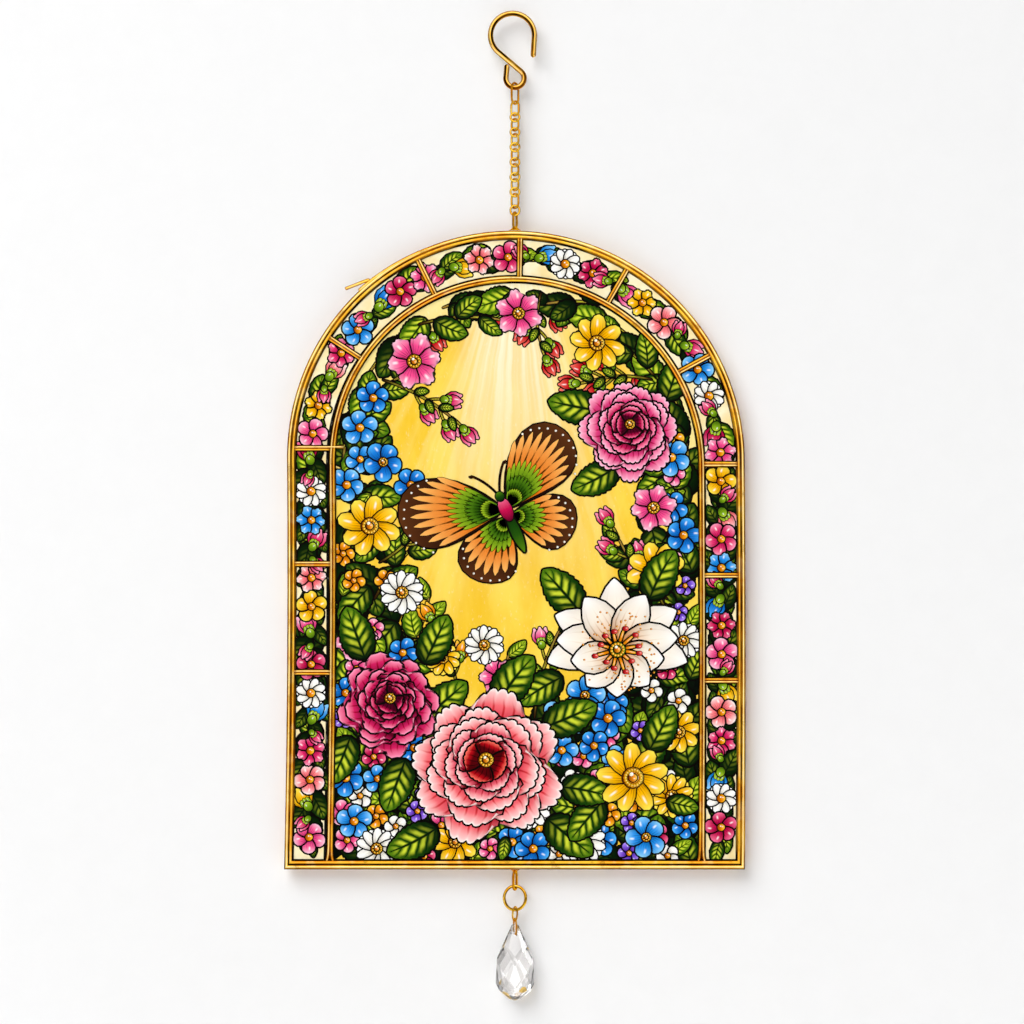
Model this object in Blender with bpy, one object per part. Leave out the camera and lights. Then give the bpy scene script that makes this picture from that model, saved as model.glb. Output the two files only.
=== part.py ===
"""Arched glass suncatcher: a painted pane in a gilt double-rod frame, hung by a chain and an S-hook.

Metres, +Z up, +X to the right as seen from the front, and the front faces -Y. The origin is the
underside of the hook's crown, where the hook rests on a nail or a rail. Every height below it is
worked out link by link down the line of hanging pieces, so a change of one size moves the rest.
"""

import math

import bmesh
import bpy
from mathutils import Matrix, Vector

GAP = 0.0003  # clearance between neighbours that rest on each other
THICK_WIRE_SIDES = 8  # sides of a wire's cross-section
THIN_WIRE_SIDES = 6
THIN_WIRE = 0.0010  # a wire up to this thick counts as thin

# S-hook, bent in the front plane from one wire
HOOK_WIRE = 0.0024
BOW_RADIUS = 0.0096
BOW_SHIFT = -0.0011
BOW_FIRST_ANGLE = math.radians(-3.4)
BOW_LEG = 0.0080
LOOP_RADIUS = 0.0040
LOOP_DROP = 0.0272
TAIL_LENGTH = 0.0050
TAIL_LEAN = math.radians(-5.0)

# Chain: rings that face the front alternate with longer links turned across them
TOP_LINK_WIRE = 0.00095
TOP_LINK_SIZE = (0.0060, 0.0102)
TOP_LINK_TURN = math.radians(55.0)
CHAIN_WIRE = 0.00095
CHAIN_LINKS = 7
LINK_SIZE = (0.0051, 0.00615)
END_LINK_SIZE = (0.0051, 0.0073)
FIRST_LINK_TURN = math.radians(-38.0)
LINK_TURN = math.radians(-45.0)
RING_SIZE = (0.0048, 0.0048)
LAST_RING_SIZE = (0.0048, 0.0054)

# Eyes soldered on the frame's top and bottom edges
TOP_EYE_WIRE = 0.0011
TOP_EYE_SIZE = (0.0050, 0.0084)
BOTTOM_EYE_WIRE = 0.00115
BOTTOM_EYE_SIZE = (0.0050, 0.0093)
EYE_TURN = math.radians(68.0)
TOP_FOOT_SIZE = (0.0054, 0.0016)
BOTTOM_FOOT_SIZE = (0.0042, 0.0008)
FOOT_SINK = 0.0003  # how far the loop of an eye stops short of its foot's flat face

# Frame: half-round arch on straight sides, two rods wide, with a channel for the glass
HALF_WIDTH = 0.1000
FRAME_HEIGHT = 0.2791
FRAME_WIDTH = 0.0035
FRAME_DEPTH = 0.0056
CHANNEL_DEPTH = 0.0015
OUTER_ROD = 0.0019
INNER_ROD = 0.0017
ARCH_STEPS = 52
SIDE_STEPS = 4

# The frame is bent by hand: it leans and spreads a little down its height
LEAN_TOP = -0.0011
LEAN_SLOPE = 0.00594
LEAN_CURVE = -0.00504
SPREAD = 0.007

# Loose rod ends at the frame's splice, on the upper left of the arch: the outer rod laps over itself
# there, a little proud of the arch, and its cut tail stands off the frame
SPLICE_ROD = 0.0015
SPLICE_TAIL = ((-0.0730, -0.1193), (-0.0634, -0.1156))
SPLICE_LAP_ANGLES = (math.radians(132.2), math.radians(112.0))
SPLICE_LAP_STEPS = 8
SPLICE_LAP_LIFT = 0.0008

# Glass pane
GLASS_THICKNESS = 0.0030

# Inner came and cross bars: twin wires lying on the face of the glass
CAME_WIDTH = 0.0026
CAME_HEIGHT = 0.00098
CAME_HALF_WIDTH = 0.0824
CAME_ARCH_DROP = 0.0023
CAME_ARCH_STEPS = 44
BAR_WIDTH = 0.0023
ARCH_BAR_ANGLES = tuple(math.radians(a) for a in (146.7, 115.5, 88.1, 59.1, 28.1))
LEFT_BAR_DROPS = (0.0951, 0.1456, 0.1930)
RIGHT_BAR_DROPS = (0.1020, 0.1506, 0.1965)

# Crystal and what it hangs from
JUMP_RING_WIRE = 0.0013
JUMP_RING_SIZE = (0.0107, 0.0118)
JUMP_RING_SPLIT = math.radians(3.0)
JUMP_RING_SPLIT_AT = math.radians(186.0)
SMALL_RING_WIRE = 0.0008
SMALL_RING_SIZE = (0.0070, 0.0070)
SMALL_RING_TURN = math.radians(71.0)
BAIL_WIRE = 0.0008
BAIL_SIZE = (0.0062, 0.0075)
BAIL_CORNER = 0.0008
BAIL_TURN = math.radians(102.0)
BAIL_DEPTH = 0.0044  # from the crystal's tip down to the bore that the bail passes through
CRYSTAL_HEIGHT = 0.0334
CRYSTAL_WIDTH = 0.0165
CRYSTAL_THICKNESS = 0.0112
# Rows of ground facets: distance below the tip and radius there, as shares of the height and of
# the half-width, how far the facets look upwards, and which ways they face round the axis
SIX_WAYS = (0, 60, 120, 180, 240, 300)
BETWEEN_THEM = (30, 150, 210, 330)
TO_THE_SIDES = (90, 270)
TWELVE_WAYS = tuple(range(0, 360, 30))
CRYSTAL_ROWS = (
    (0.020, 0.16, 50.0, SIX_WAYS),
    (0.020, 0.16, 21.2, SIX_WAYS),
    (0.550, 0.86, 6.0, BETWEEN_THEM),
    (0.600, 0.985, 3.0, TO_THE_SIDES),
    (0.527, 0.955, -4.0, SIX_WAYS),
    (0.800, 0.97, -28.0, TWELVE_WAYS),
    (0.900, 0.70, -50.0, tuple(way + 15 for way in TWELVE_WAYS)),
    (0.970, 0.42, -70.0, SIX_WAYS),
)

GILT = ("gilt", (0.86, 0.58, 0.17), 0.22, 1.0, 0.0)
PAINTED_GLASS = ("painted_glass", (0.94, 0.74, 0.30), 0.12, 0.0, 0.0)
CRYSTAL_GLASS = ("crystal_glass", (0.96, 0.97, 0.98), 0.02, 0.0, 1.0)


def clear_scene():
    """Removes every object that the scene opens with."""
    for existing in list(bpy.data.objects):
        bpy.data.objects.remove(existing, do_unlink=True)


def material(finish):
    """The finish's material, made once."""
    name, colour, roughness, metallic, transmission = finish
    found = bpy.data.materials.get(name)
    if found:
        return found
    made = bpy.data.materials.new(name)
    made.use_nodes = True
    shader = made.node_tree.nodes["Principled BSDF"]
    shader.inputs["Base Color"].default_value = (*colour, 1.0)
    shader.inputs["Roughness"].default_value = roughness
    shader.inputs["Metallic"].default_value = metallic
    shader.inputs["Transmission Weight"].default_value = transmission
    return made


def add_object(name, data, finish):
    """Links a mesh or curve into the scene as one named piece."""
    piece = bpy.data.objects.new(name, data)
    data.materials.append(material(finish))
    bpy.context.collection.objects.link(piece)
    return piece


def mesh_piece(name, shape, finish):
    """Turns a bmesh into a piece whose faces look outwards."""
    bmesh.ops.recalc_face_normals(shape, faces=shape.faces)
    data = bpy.data.meshes.new(name)
    shape.to_mesh(data)
    shape.free()
    data.shade_smooth()
    data.set_sharp_from_angle(angle=math.radians(40.0))
    return add_object(name, data, finish)


def wire(name, points, diameter, closed, finish=GILT):
    """A round wire bent along the points."""
    curve = bpy.data.curves.new(name, "CURVE")
    curve.dimensions = "3D"
    curve.bevel_depth = diameter / 2
    sides = THIN_WIRE_SIDES if diameter <= THIN_WIRE else THICK_WIRE_SIDES
    curve.bevel_resolution = sides // 2 - 2
    curve.use_fill_caps = True
    spline = curve.splines.new("POLY")
    spline.points.add(len(points) - 1)
    for place, point in zip(spline.points, points):
        place.co = (*point, 1.0)
    spline.use_cyclic_u = closed
    return add_object(name, curve, finish)


def as_mesh(bent_wire):
    """The same wire as a mesh object, which can be united with other shapes."""
    name = bent_wire.name
    data = bpy.data.meshes.new_from_object(bent_wire)
    bpy.data.objects.remove(bent_wire, do_unlink=True)
    piece = bpy.data.objects.new(name, data)
    bpy.context.collection.objects.link(piece)
    return piece


def in_front_plane(x, z):
    """A point of the front plane, on the chain's own line."""
    return Vector((x, 0.0, z))


def arc(centre, radius, first, last, steps):
    """Points of a circle in the front plane, from the first angle to the last."""
    angles = [first + (last - first) * i / steps for i in range(steps + 1)]
    return [
        centre + radius * in_front_plane(math.cos(angle), math.sin(angle)) for angle in angles
    ]


def racetrack(width, length, quarter_steps=3):
    """The centre line of a link: four quarter turns and the straights between them."""
    corner = min(width, length) / 2
    across, along = width / 2 - corner, length / 2 - corner
    points = []
    for quarter, (side, end) in enumerate(((1, 1), (-1, 1), (-1, -1), (1, -1))):
        start = quarter * math.pi / 2
        turn = arc(
            in_front_plane(side * across, end * along), corner, start, start + math.pi / 2, quarter_steps
        )
        points += [p for p in turn if not points or (p - points[-1]).length > 1e-6]
    if (points[0] - points[-1]).length < 1e-6:
        points.pop()
    return points


def link(name, size, diameter, turn, rest_height):
    """A closed link hung on a wire whose upper side is at rest_height.

    Returns the height of the upper side of the link's own lowest wire, where the next piece hangs.
    """
    width, length = size
    centre = rest_height + GAP + diameter - length / 2
    spin = Matrix.Rotation(turn, 3, "Z")
    points = [
        spin @ p + in_front_plane(0, centre) for p in racetrack(width - diameter, length - diameter)
    ]
    wire(name, points, diameter, closed=True)
    return centre - length / 2 + diameter


def s_hook():
    """The hook, from the tip of its open leg to the tip of its small loop.

    Returns the height of the upper side of the wire at the bottom of the small loop.
    """
    bow = in_front_plane(BOW_SHIFT, HOOK_WIRE / 2 - BOW_RADIUS)
    loop = in_front_plane(0, -LOOP_DROP)
    between = loop - bow
    slope = math.atan2(between.z, between.x)
    open_angle = math.acos((BOW_RADIUS + LOOP_RADIUS) / between.length)
    bow_last = slope - open_angle + 2 * math.pi
    loop_first = bow_last - math.pi
    leg_way = in_front_plane(math.sin(BOW_FIRST_ANGLE), -math.cos(BOW_FIRST_ANGLE))
    bow_points = arc(bow, BOW_RADIUS, BOW_FIRST_ANGLE, bow_last, 24)
    loop_points = arc(loop, LOOP_RADIUS, loop_first, -math.pi, 14)
    tail_way = in_front_plane(-math.sin(TAIL_LEAN), math.cos(TAIL_LEAN))
    points = [bow_points[0] + BOW_LEG * leg_way, *bow_points, *loop_points]
    points.append(loop_points[-1] + TAIL_LENGTH * tail_way)
    wire("s_hook", points, HOOK_WIRE, closed=False)
    return loop.z - LOOP_RADIUS + HOOK_WIRE / 2


def chain(rest_height):
    """The top link and the chain of links and rings; returns where the top eye hangs."""
    rest_height = link("top_link", TOP_LINK_SIZE, TOP_LINK_WIRE, TOP_LINK_TURN, rest_height)
    for number in range(1, CHAIN_LINKS + 1):
        at_end = number in (1, CHAIN_LINKS)
        size = END_LINK_SIZE if at_end else LINK_SIZE
        turn = FIRST_LINK_TURN if number == 1 else LINK_TURN
        rest_height = link(f"chain_link_{number}", size, CHAIN_WIRE, turn, rest_height)
        size = LAST_RING_SIZE if number == CHAIN_LINKS else RING_SIZE
        rest_height = link(f"chain_ring_{number}", size, CHAIN_WIRE, 0.0, rest_height)
    return rest_height


def eye(name, size, diameter, foot_size, face_height, upwards):
    """A wire loop on a small cone of solder whose flat face is at face_height."""
    width, height = size
    foot_width, foot_height = foot_size
    side = 1 if upwards else -1
    middle = face_height + side * (height + FOOT_SINK) / 2
    spin = Matrix.Rotation(EYE_TURN, 3, "Z")
    loop_length = height - FOOT_SINK - diameter
    points = [
        spin @ p + in_front_plane(0, middle) for p in racetrack(width - diameter, loop_length)
    ]
    loop = as_mesh(wire(name, points, diameter, closed=True))
    shape = bmesh.new()
    bmesh.ops.create_cone(
        shape,
        cap_ends=True,
        segments=16,
        radius1=foot_width / 2 if upwards else diameter,
        radius2=diameter if upwards else foot_width / 2,
        depth=foot_height,
        matrix=Matrix.Translation((0, 0, face_height + side * foot_height / 2)),
    )
    join(loop, mesh_piece(f"{name}_foot", shape, GILT))


def as_tool(helper):
    """Keeps a helper shape out of the model."""
    helper.hide_render = True
    helper.display_type = "WIRE"


def join(piece, helper, operation="UNION"):
    """Unites the helper's shape with the piece, or cuts it from the piece."""
    as_tool(helper)
    modifier = piece.modifiers.new(helper.name, "BOOLEAN")
    modifier.operation = operation
    modifier.object = helper


def bend_by_hand(shape, frame_top):
    """Leans and spreads a shape of the frame a little, by its height."""
    for vertex in shape.verts:
        down = (frame_top - vertex.co.z) / FRAME_HEIGHT
        lean = LEAN_TOP + LEAN_SLOPE * down + LEAN_CURVE * down * down
        vertex.co.x = vertex.co.x * (1 + SPREAD * down**3) + lean


def sweep(stations, section, closed):
    """Carries a section along stations of (place, inward way), and caps the ends if it is open.

    A section point is (how far inwards, how far back); the first way lies in the front plane.
    """
    shape = bmesh.new()
    rings = [
        [shape.verts.new(place + inward * way + Vector((0, back, 0))) for inward, back in section]
        for place, way in stations
    ]
    pairs = list(zip(rings, rings[1:]))
    if closed:
        pairs.append((rings[-1], rings[0]))
    else:
        shape.faces.new(rings[0])
        shape.faces.new(reversed(rings[-1]))
    for ring, following in pairs:
        for i in range(len(section)):
            j = (i + 1) % len(section)
            shape.faces.new((ring[i], ring[j], following[j], following[i]))
    return shape


def arch_stations(centre_height, half_width, bottom, steps):
    """Stations up the left side, over the arch in so many steps, and down the right side."""
    drops = [bottom + (centre_height - bottom) * i / SIDE_STEPS for i in range(SIDE_STEPS)]
    left = [(in_front_plane(-half_width, z), in_front_plane(1, 0)) for z in drops]
    over = []
    for i in range(steps + 1):
        angle = math.pi * (1 - i / steps)
        out = in_front_plane(math.cos(angle), math.sin(angle))
        over.append((in_front_plane(0, centre_height) + half_width * out, -out))
    right = [(in_front_plane(half_width, z), in_front_plane(-1, 0)) for z in reversed(drops)]
    return left + over + right


def rod_points(centre, radius, first, last, steps):
    """Points round a rod's front, as (inwards, back); angles count from the outer side."""
    found = []
    for i in range(steps + 1):
        angle = math.radians(first + (last - first) * i / steps)
        found.append((centre - radius * math.cos(angle), -FRAME_DEPTH / 2 + radius * (1 - math.sin(angle))))
    return found


def frame_section():
    """Two rods side by side in front, a plain rounded back, and the glass channel between."""
    lip = GLASS_THICKNESS / 2 + GAP
    floor = FRAME_WIDTH - CHANNEL_DEPTH
    back = FRAME_DEPTH / 2
    bevel = 0.0006
    front = rod_points(OUTER_ROD / 2, OUTER_ROD / 2, 0, 145, 4)
    front += rod_points(FRAME_WIDTH - INNER_ROD / 2, INNER_ROD / 2, 45, 180, 4)
    channel = [(FRAME_WIDTH, -lip), (floor, -lip), (floor, lip), (FRAME_WIDTH, lip)]
    behind = [(FRAME_WIDTH, back - bevel), (FRAME_WIDTH - bevel, back), (bevel, back), (0, back - bevel)]
    return front + channel + behind


def splice(frame, arch_centre, frame_top):
    """The loose tail of the outer rod and the lap beside it, soldered on the arch."""
    tail = [in_front_plane(x, z) for x, z in SPLICE_TAIL]
    first, last = SPLICE_LAP_ANGLES
    lap = []
    for i in range(SPLICE_LAP_STEPS + 1):
        share = i / SPLICE_LAP_STEPS
        angle = first + (last - first) * share
        radius = HALF_WIDTH - SPLICE_ROD / 2 + SPLICE_LAP_LIFT * (1 - share)
        lap.append(in_front_plane(radius * math.cos(angle), arch_centre + radius * math.sin(angle)))
    section = []
    for i in range(THICK_WIRE_SIDES):
        angle = 2 * math.pi * (i + 0.5) / THICK_WIRE_SIDES
        back = (SPLICE_ROD - FRAME_DEPTH) / 2 + SPLICE_ROD / 2 * math.sin(angle)
        section.append((SPLICE_ROD / 2 * math.cos(angle), back))
    for name, points in (("splice_tail", tail), ("splice_lap", lap)):
        stations = []
        for i, point in enumerate(points):
            way = (points[min(i + 1, len(points) - 1)] - points[max(i - 1, 0)]).normalized()
            stations.append((point, in_front_plane(-way.z, way.x)))
        shape = sweep(stations, section, closed=False)
        bend_by_hand(shape, frame_top)
        join(frame, mesh_piece(name, shape, GILT))


def frame_ring(frame_top):
    """The closed double-rod frame, mitred at its two lower corners."""
    arch_centre = frame_top - HALF_WIDTH
    bottom = frame_top - FRAME_HEIGHT
    stations = arch_stations(arch_centre, HALF_WIDTH, bottom, ARCH_STEPS)
    stations[0] = (stations[0][0], in_front_plane(1, 1))
    stations[-1] = (stations[-1][0], in_front_plane(-1, 1))
    for i in range(1, SIDE_STEPS):
        x = HALF_WIDTH * (1 - 2 * i / SIDE_STEPS)
        stations.append((in_front_plane(x, bottom), in_front_plane(0, 1)))
    shape = sweep(stations, frame_section(), closed=True)
    bend_by_hand(shape, frame_top)
    splice(mesh_piece("frame", shape, GILT), arch_centre, frame_top)


def glass_pane(frame_top):
    """The arched pane, whose edge sits in the frame's channel."""
    inset = FRAME_WIDTH - CHANNEL_DEPTH + GAP
    bottom = frame_top - FRAME_HEIGHT + inset
    outline = arch_stations(frame_top - HALF_WIDTH, HALF_WIDTH - inset, bottom, ARCH_STEPS)
    shape = bmesh.new()
    front = [shape.verts.new(place - Vector((0, GLASS_THICKNESS / 2, 0))) for place, _ in outline]
    made = bmesh.ops.extrude_face_region(shape, geom=[shape.faces.new(front)])
    back = [item for item in made["geom"] if isinstance(item, bmesh.types.BMVert)]
    bmesh.ops.translate(shape, verts=back, vec=(0, GLASS_THICKNESS, 0))
    bend_by_hand(shape, frame_top)
    mesh_piece("glass_pane", shape, PAINTED_GLASS)


def twin_section(width, first_inward):
    """Twin wires soldered side by side, flat behind, lying on the glass."""
    base = -(GLASS_THICKNESS / 2 + GAP)
    side = width / 2
    section = [(first_inward, base)]
    for wire_number in range(2):
        middle = first_inward + side * (wire_number + 0.5)
        for angle in (180, 135, 90, 45) if wire_number == 0 else (135, 90, 45, 0):
            turned = math.radians(angle)
            rise = CAME_HEIGHT - side / 2 * (1 - math.sin(turned))
            section.append((middle + side / 2 * math.cos(turned), base - rise))
        if wire_number == 0:
            section.append((first_inward + side, base - CAME_HEIGHT + side / 2 * 0.62))
    section.append((first_inward + width, base))
    return section


def inner_came(frame_top):
    """The smaller arch of twin wires, from the frame's bottom rod up and round and back."""
    bottom = frame_top - FRAME_HEIGHT + FRAME_WIDTH + GAP
    centre = frame_top - HALF_WIDTH - CAME_ARCH_DROP
    stations = arch_stations(centre, CAME_HALF_WIDTH, bottom, CAME_ARCH_STEPS)
    shape = sweep(stations, twin_section(CAME_WIDTH, 0.0), closed=False)
    bend_by_hand(shape, frame_top)
    mesh_piece("inner_came", shape, GILT)


def cross_bar(name, start, end, frame_top):
    """One straight bar of twin wires between the frame and the inner came."""
    way = (end - start).normalized()
    across = in_front_plane(-way.z, way.x)
    section = twin_section(BAR_WIDTH, -BAR_WIDTH / 2)
    shape = sweep([(start, across), (end, across)], section, closed=False)
    bend_by_hand(shape, frame_top)
    mesh_piece(name, shape, GILT)


def cross_bars(frame_top):
    """The bars that divide the border into cells: five round the arch, three down each side."""
    arch_centre = frame_top - HALF_WIDTH
    inner_radius = HALF_WIDTH - FRAME_WIDTH - GAP
    came_clear = CAME_HALF_WIDTH + GAP
    for number, angle in enumerate(ARCH_BAR_ANGLES, 1):
        out = in_front_plane(math.cos(angle), math.sin(angle))
        # the ray from the frame's arch centre meets the came's lower circle at this distance
        sink = CAME_ARCH_DROP * math.sin(angle)
        reach = -sink + math.sqrt(sink**2 + came_clear**2 - CAME_ARCH_DROP**2)
        centre = in_front_plane(0, arch_centre)
        cross_bar(f"arch_bar_{number}", centre + inner_radius * out, centre + reach * out, frame_top)
    for side, label, drops in ((-1, "left", LEFT_BAR_DROPS), (1, "right", RIGHT_BAR_DROPS)):
        for number, drop in enumerate(drops, 1):
            height = frame_top - drop
            # beside the arch's lowest part a side bar starts a little further in
            rise = max(height - arch_centre, 0.0)
            start = math.sqrt(inner_radius**2 - rise**2)
            points = (in_front_plane(side * start, height), in_front_plane(side * came_clear, height))
            cross_bar(f"{label}_bar_{number}", *points, frame_top)


def jump_ring(rest_height):
    """The oval split ring under the frame, its two ends a hair apart."""
    width, length = JUMP_RING_SIZE
    centre = rest_height + GAP + JUMP_RING_WIRE - length / 2
    steps = 24
    points = []
    for i in range(steps + 1):
        angle = JUMP_RING_SPLIT_AT + JUMP_RING_SPLIT / 2 + (2 * math.pi - JUMP_RING_SPLIT) * i / steps
        across = (width - JUMP_RING_WIRE) / 2 * math.cos(angle)
        points.append(in_front_plane(across, centre + (length - JUMP_RING_WIRE) / 2 * math.sin(angle)))
    wire("jump_ring", points, JUMP_RING_WIRE, closed=False)
    return centre - length / 2 + JUMP_RING_WIRE


def crystal_bail(rest_height):
    """A stirrup of wire, round above and flat below, whose lower side passes through the crystal.

    Returns the height of the lower side's centre line.
    """
    width, length = BAIL_SIZE
    half = (width - BAIL_WIRE) / 2
    crown = rest_height + GAP + BAIL_WIRE / 2 - half
    lower_side = rest_height + GAP + BAIL_WIRE - length + BAIL_WIRE / 2
    corner_height = lower_side + BAIL_CORNER
    reach = half - BAIL_CORNER
    points = arc(in_front_plane(0, crown), half, 0, math.pi, 10)
    points += arc(in_front_plane(-reach, corner_height), BAIL_CORNER, math.pi, math.pi * 3 / 2, 3)
    points += arc(in_front_plane(reach, corner_height), BAIL_CORNER, math.pi * 3 / 2, math.tau, 3)
    spin = Matrix.Rotation(BAIL_TURN, 3, "Z")
    wire("crystal_bail", [spin @ p for p in points], BAIL_WIRE, closed=True)
    return lower_side


def crystal(bore_height):
    """A clear teardrop, ground flat facet by facet, with a bore through it near its tip."""
    tip = bore_height + BAIL_DEPTH
    half_width = CRYSTAL_WIDTH / 2
    shape = bmesh.new()
    bmesh.ops.create_cube(shape, size=1.0)
    blank = Matrix.Diagonal((CRYSTAL_WIDTH * 1.5, CRYSTAL_WIDTH * 1.5, CRYSTAL_HEIGHT, 1))
    bmesh.ops.transform(shape, matrix=blank, verts=shape.verts)
    bmesh.ops.translate(shape, vec=(0, 0, tip - CRYSTAL_HEIGHT / 2), verts=shape.verts)
    for depth, radius, tilt, ways in CRYSTAL_ROWS:
        rise = math.radians(tilt)
        for way in ways:
            angle = math.radians(way)
            out = Vector((math.sin(angle), -math.cos(angle), 0))
            facing = out * math.cos(rise) + Vector((0, 0, math.sin(rise)))
            place = out * radius * half_width + Vector((0, 0, tip - depth * CRYSTAL_HEIGHT))
            grind(shape, place, facing)
    flatten = Matrix.Diagonal((1, CRYSTAL_THICKNESS / CRYSTAL_WIDTH, 1, 1))
    bmesh.ops.transform(shape, matrix=flatten, verts=shape.verts)
    drop = mesh_piece("crystal", shape, CRYSTAL_GLASS)
    drop.data.shade_flat()
    along_bore = Matrix.Rotation(BAIL_TURN, 4, "Z") @ Matrix.Rotation(math.pi / 2, 4, "Y")
    bore = bmesh.new()
    bmesh.ops.create_cone(
        bore,
        cap_ends=True,
        segments=16,
        radius1=BAIL_WIRE / 2 + GAP,
        radius2=BAIL_WIRE / 2 + GAP,
        depth=CRYSTAL_THICKNESS,
        matrix=Matrix.Translation((0, 0, bore_height)) @ along_bore,
    )
    join(drop, mesh_piece("crystal_bore", bore, CRYSTAL_GLASS), "DIFFERENCE")


def grind(shape, place, facing):
    """Cuts away what lies beyond a plane and closes the cut with one flat face."""
    parts = [*shape.verts, *shape.edges, *shape.faces]
    cut = bmesh.ops.bisect_plane(
        shape, geom=parts, dist=1e-7, plane_co=place, plane_no=facing, clear_outer=True
    )
    rim = [item for item in cut["geom_cut"] if isinstance(item, bmesh.types.BMEdge)]
    if len(rim) > 2:
        bmesh.ops.contextual_create(shape, geom=rim)


def main():
    """Builds the pieces from the hook down to the crystal."""
    clear_scene()
    hang = chain(s_hook())
    frame_top = hang + GAP + TOP_EYE_WIRE - TOP_EYE_SIZE[1] - GAP
    eye("top_eye", TOP_EYE_SIZE, TOP_EYE_WIRE, TOP_FOOT_SIZE, frame_top + GAP, upwards=True)
    frame_ring(frame_top)
    glass_pane(frame_top)
    inner_came(frame_top)
    cross_bars(frame_top)
    foot = frame_top - FRAME_HEIGHT - GAP
    eye("bottom_eye", BOTTOM_EYE_SIZE, BOTTOM_EYE_WIRE, BOTTOM_FOOT_SIZE, foot, upwards=False)
    hang = jump_ring(foot - BOTTOM_EYE_SIZE[1] + BOTTOM_EYE_WIRE)
    hang = link("small_ring", SMALL_RING_SIZE, SMALL_RING_WIRE, SMALL_RING_TURN, hang)
    crystal(crystal_bail(hang))


main()
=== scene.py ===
"""Looks of the arched suncatcher: gilt wires and rods, a painted pane and a clear faceted drop.

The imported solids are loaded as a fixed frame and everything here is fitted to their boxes.
Metres, +Z up, +X to the right seen from the front, and the front faces -Y. The picture on the pane
is laid out in millimetres: across from the middle line, and up from the frame's bottom edge.
"""

from __future__ import annotations

import logging
import math
from collections.abc import Callable
from dataclasses import dataclass, field
from enum import Enum
from functools import partial

import bpy
import numpy as np
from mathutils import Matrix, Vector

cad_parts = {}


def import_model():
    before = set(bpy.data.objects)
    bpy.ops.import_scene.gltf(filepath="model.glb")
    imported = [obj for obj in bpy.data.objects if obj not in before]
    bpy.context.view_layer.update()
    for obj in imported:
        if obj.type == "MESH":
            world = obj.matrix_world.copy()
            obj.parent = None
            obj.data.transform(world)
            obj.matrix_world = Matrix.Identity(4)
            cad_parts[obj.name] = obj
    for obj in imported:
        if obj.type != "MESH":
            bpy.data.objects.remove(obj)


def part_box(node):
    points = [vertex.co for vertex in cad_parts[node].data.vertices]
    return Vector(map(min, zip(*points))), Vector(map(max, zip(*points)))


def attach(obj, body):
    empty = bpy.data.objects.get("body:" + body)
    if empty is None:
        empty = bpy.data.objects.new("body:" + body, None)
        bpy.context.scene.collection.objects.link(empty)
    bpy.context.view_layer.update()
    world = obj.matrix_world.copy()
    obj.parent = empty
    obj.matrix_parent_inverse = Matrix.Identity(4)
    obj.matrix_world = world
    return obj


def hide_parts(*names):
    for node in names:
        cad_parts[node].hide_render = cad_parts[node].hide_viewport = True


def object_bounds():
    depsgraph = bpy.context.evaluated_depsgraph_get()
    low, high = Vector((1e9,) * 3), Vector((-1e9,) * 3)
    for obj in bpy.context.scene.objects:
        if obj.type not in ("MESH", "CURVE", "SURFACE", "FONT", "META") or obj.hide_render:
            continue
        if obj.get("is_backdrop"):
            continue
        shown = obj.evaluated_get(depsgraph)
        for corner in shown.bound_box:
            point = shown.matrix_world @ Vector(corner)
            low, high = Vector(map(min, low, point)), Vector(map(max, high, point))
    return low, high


LOG = logging.getLogger("suncatcher")
MM = 0.001
SEED = 41
Numbers = np.ndarray | float


# ---- Meshes ----


def grid_quads(rows: int, columns: int, wrap_rows: bool = False, wrap_columns: bool = False) -> np.ndarray:
    """Corner numbers of the quads of one grid, row by row.

    Args:
        rows: points along the first way.
        columns: points along the second way.
        wrap_rows: whether the last row joins the first.
        wrap_columns: whether the last column joins the first.

    Returns:
        An array of shape (quads, 4).
    """
    row = np.arange(rows if wrap_rows else rows - 1)[:, None]
    column = np.arange(columns if wrap_columns else columns - 1)[None, :]
    next_row, next_column = (row + 1) % rows, (column + 1) % columns
    corners = (
        row * columns + column,
        row * columns + next_column,
        next_row * columns + next_column,
        next_row * columns + column,
    )
    return np.stack([np.broadcast_to(c, (row.size, column.size)) for c in corners], -1).reshape(-1, 4)


@dataclass
class Shape:
    """Points, faces and point values of one surface.

    A value of one column is a number, of two a map and of three a colour.
    """

    points: np.ndarray
    faces: list[np.ndarray]
    values: dict[str, np.ndarray] = field(default_factory=dict)

    def moved(self, way: tuple[float, float, float]) -> Shape:
        """The shape, shifted."""
        return Shape(self.points + np.asarray(way), self.faces, self.values)

    def mirrored(self) -> Shape:
        """The shape seen from behind: depth changes sign and the faces turn over."""
        return Shape(self.points * [1, -1, 1], [block[:, ::-1] for block in self.faces], self.values)


def joined_shapes(shapes: list[Shape]) -> Shape:
    """Several shapes as one; a value that a shape lacks is 0 there."""
    starts = np.cumsum([0] + [len(shape.points) for shape in shapes[:-1]])
    labels = {label: array.shape[1:] for shape in shapes for label, array in shape.values.items()}
    values = {
        label: np.concatenate([s.values.get(label, np.zeros((len(s.points), *width))) for s in shapes])
        for label, width in labels.items()
    }
    faces = [block + start for shape, start in zip(shapes, starts) for block in shape.faces]
    return Shape(np.concatenate([shape.points for shape in shapes]), faces, values)


def linked(name: str, data: bpy.types.ID) -> bpy.types.Object:
    """A new object of the scene that shows the data."""
    made = bpy.data.objects.new(name, data)
    bpy.context.scene.collection.objects.link(made)
    return made


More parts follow.
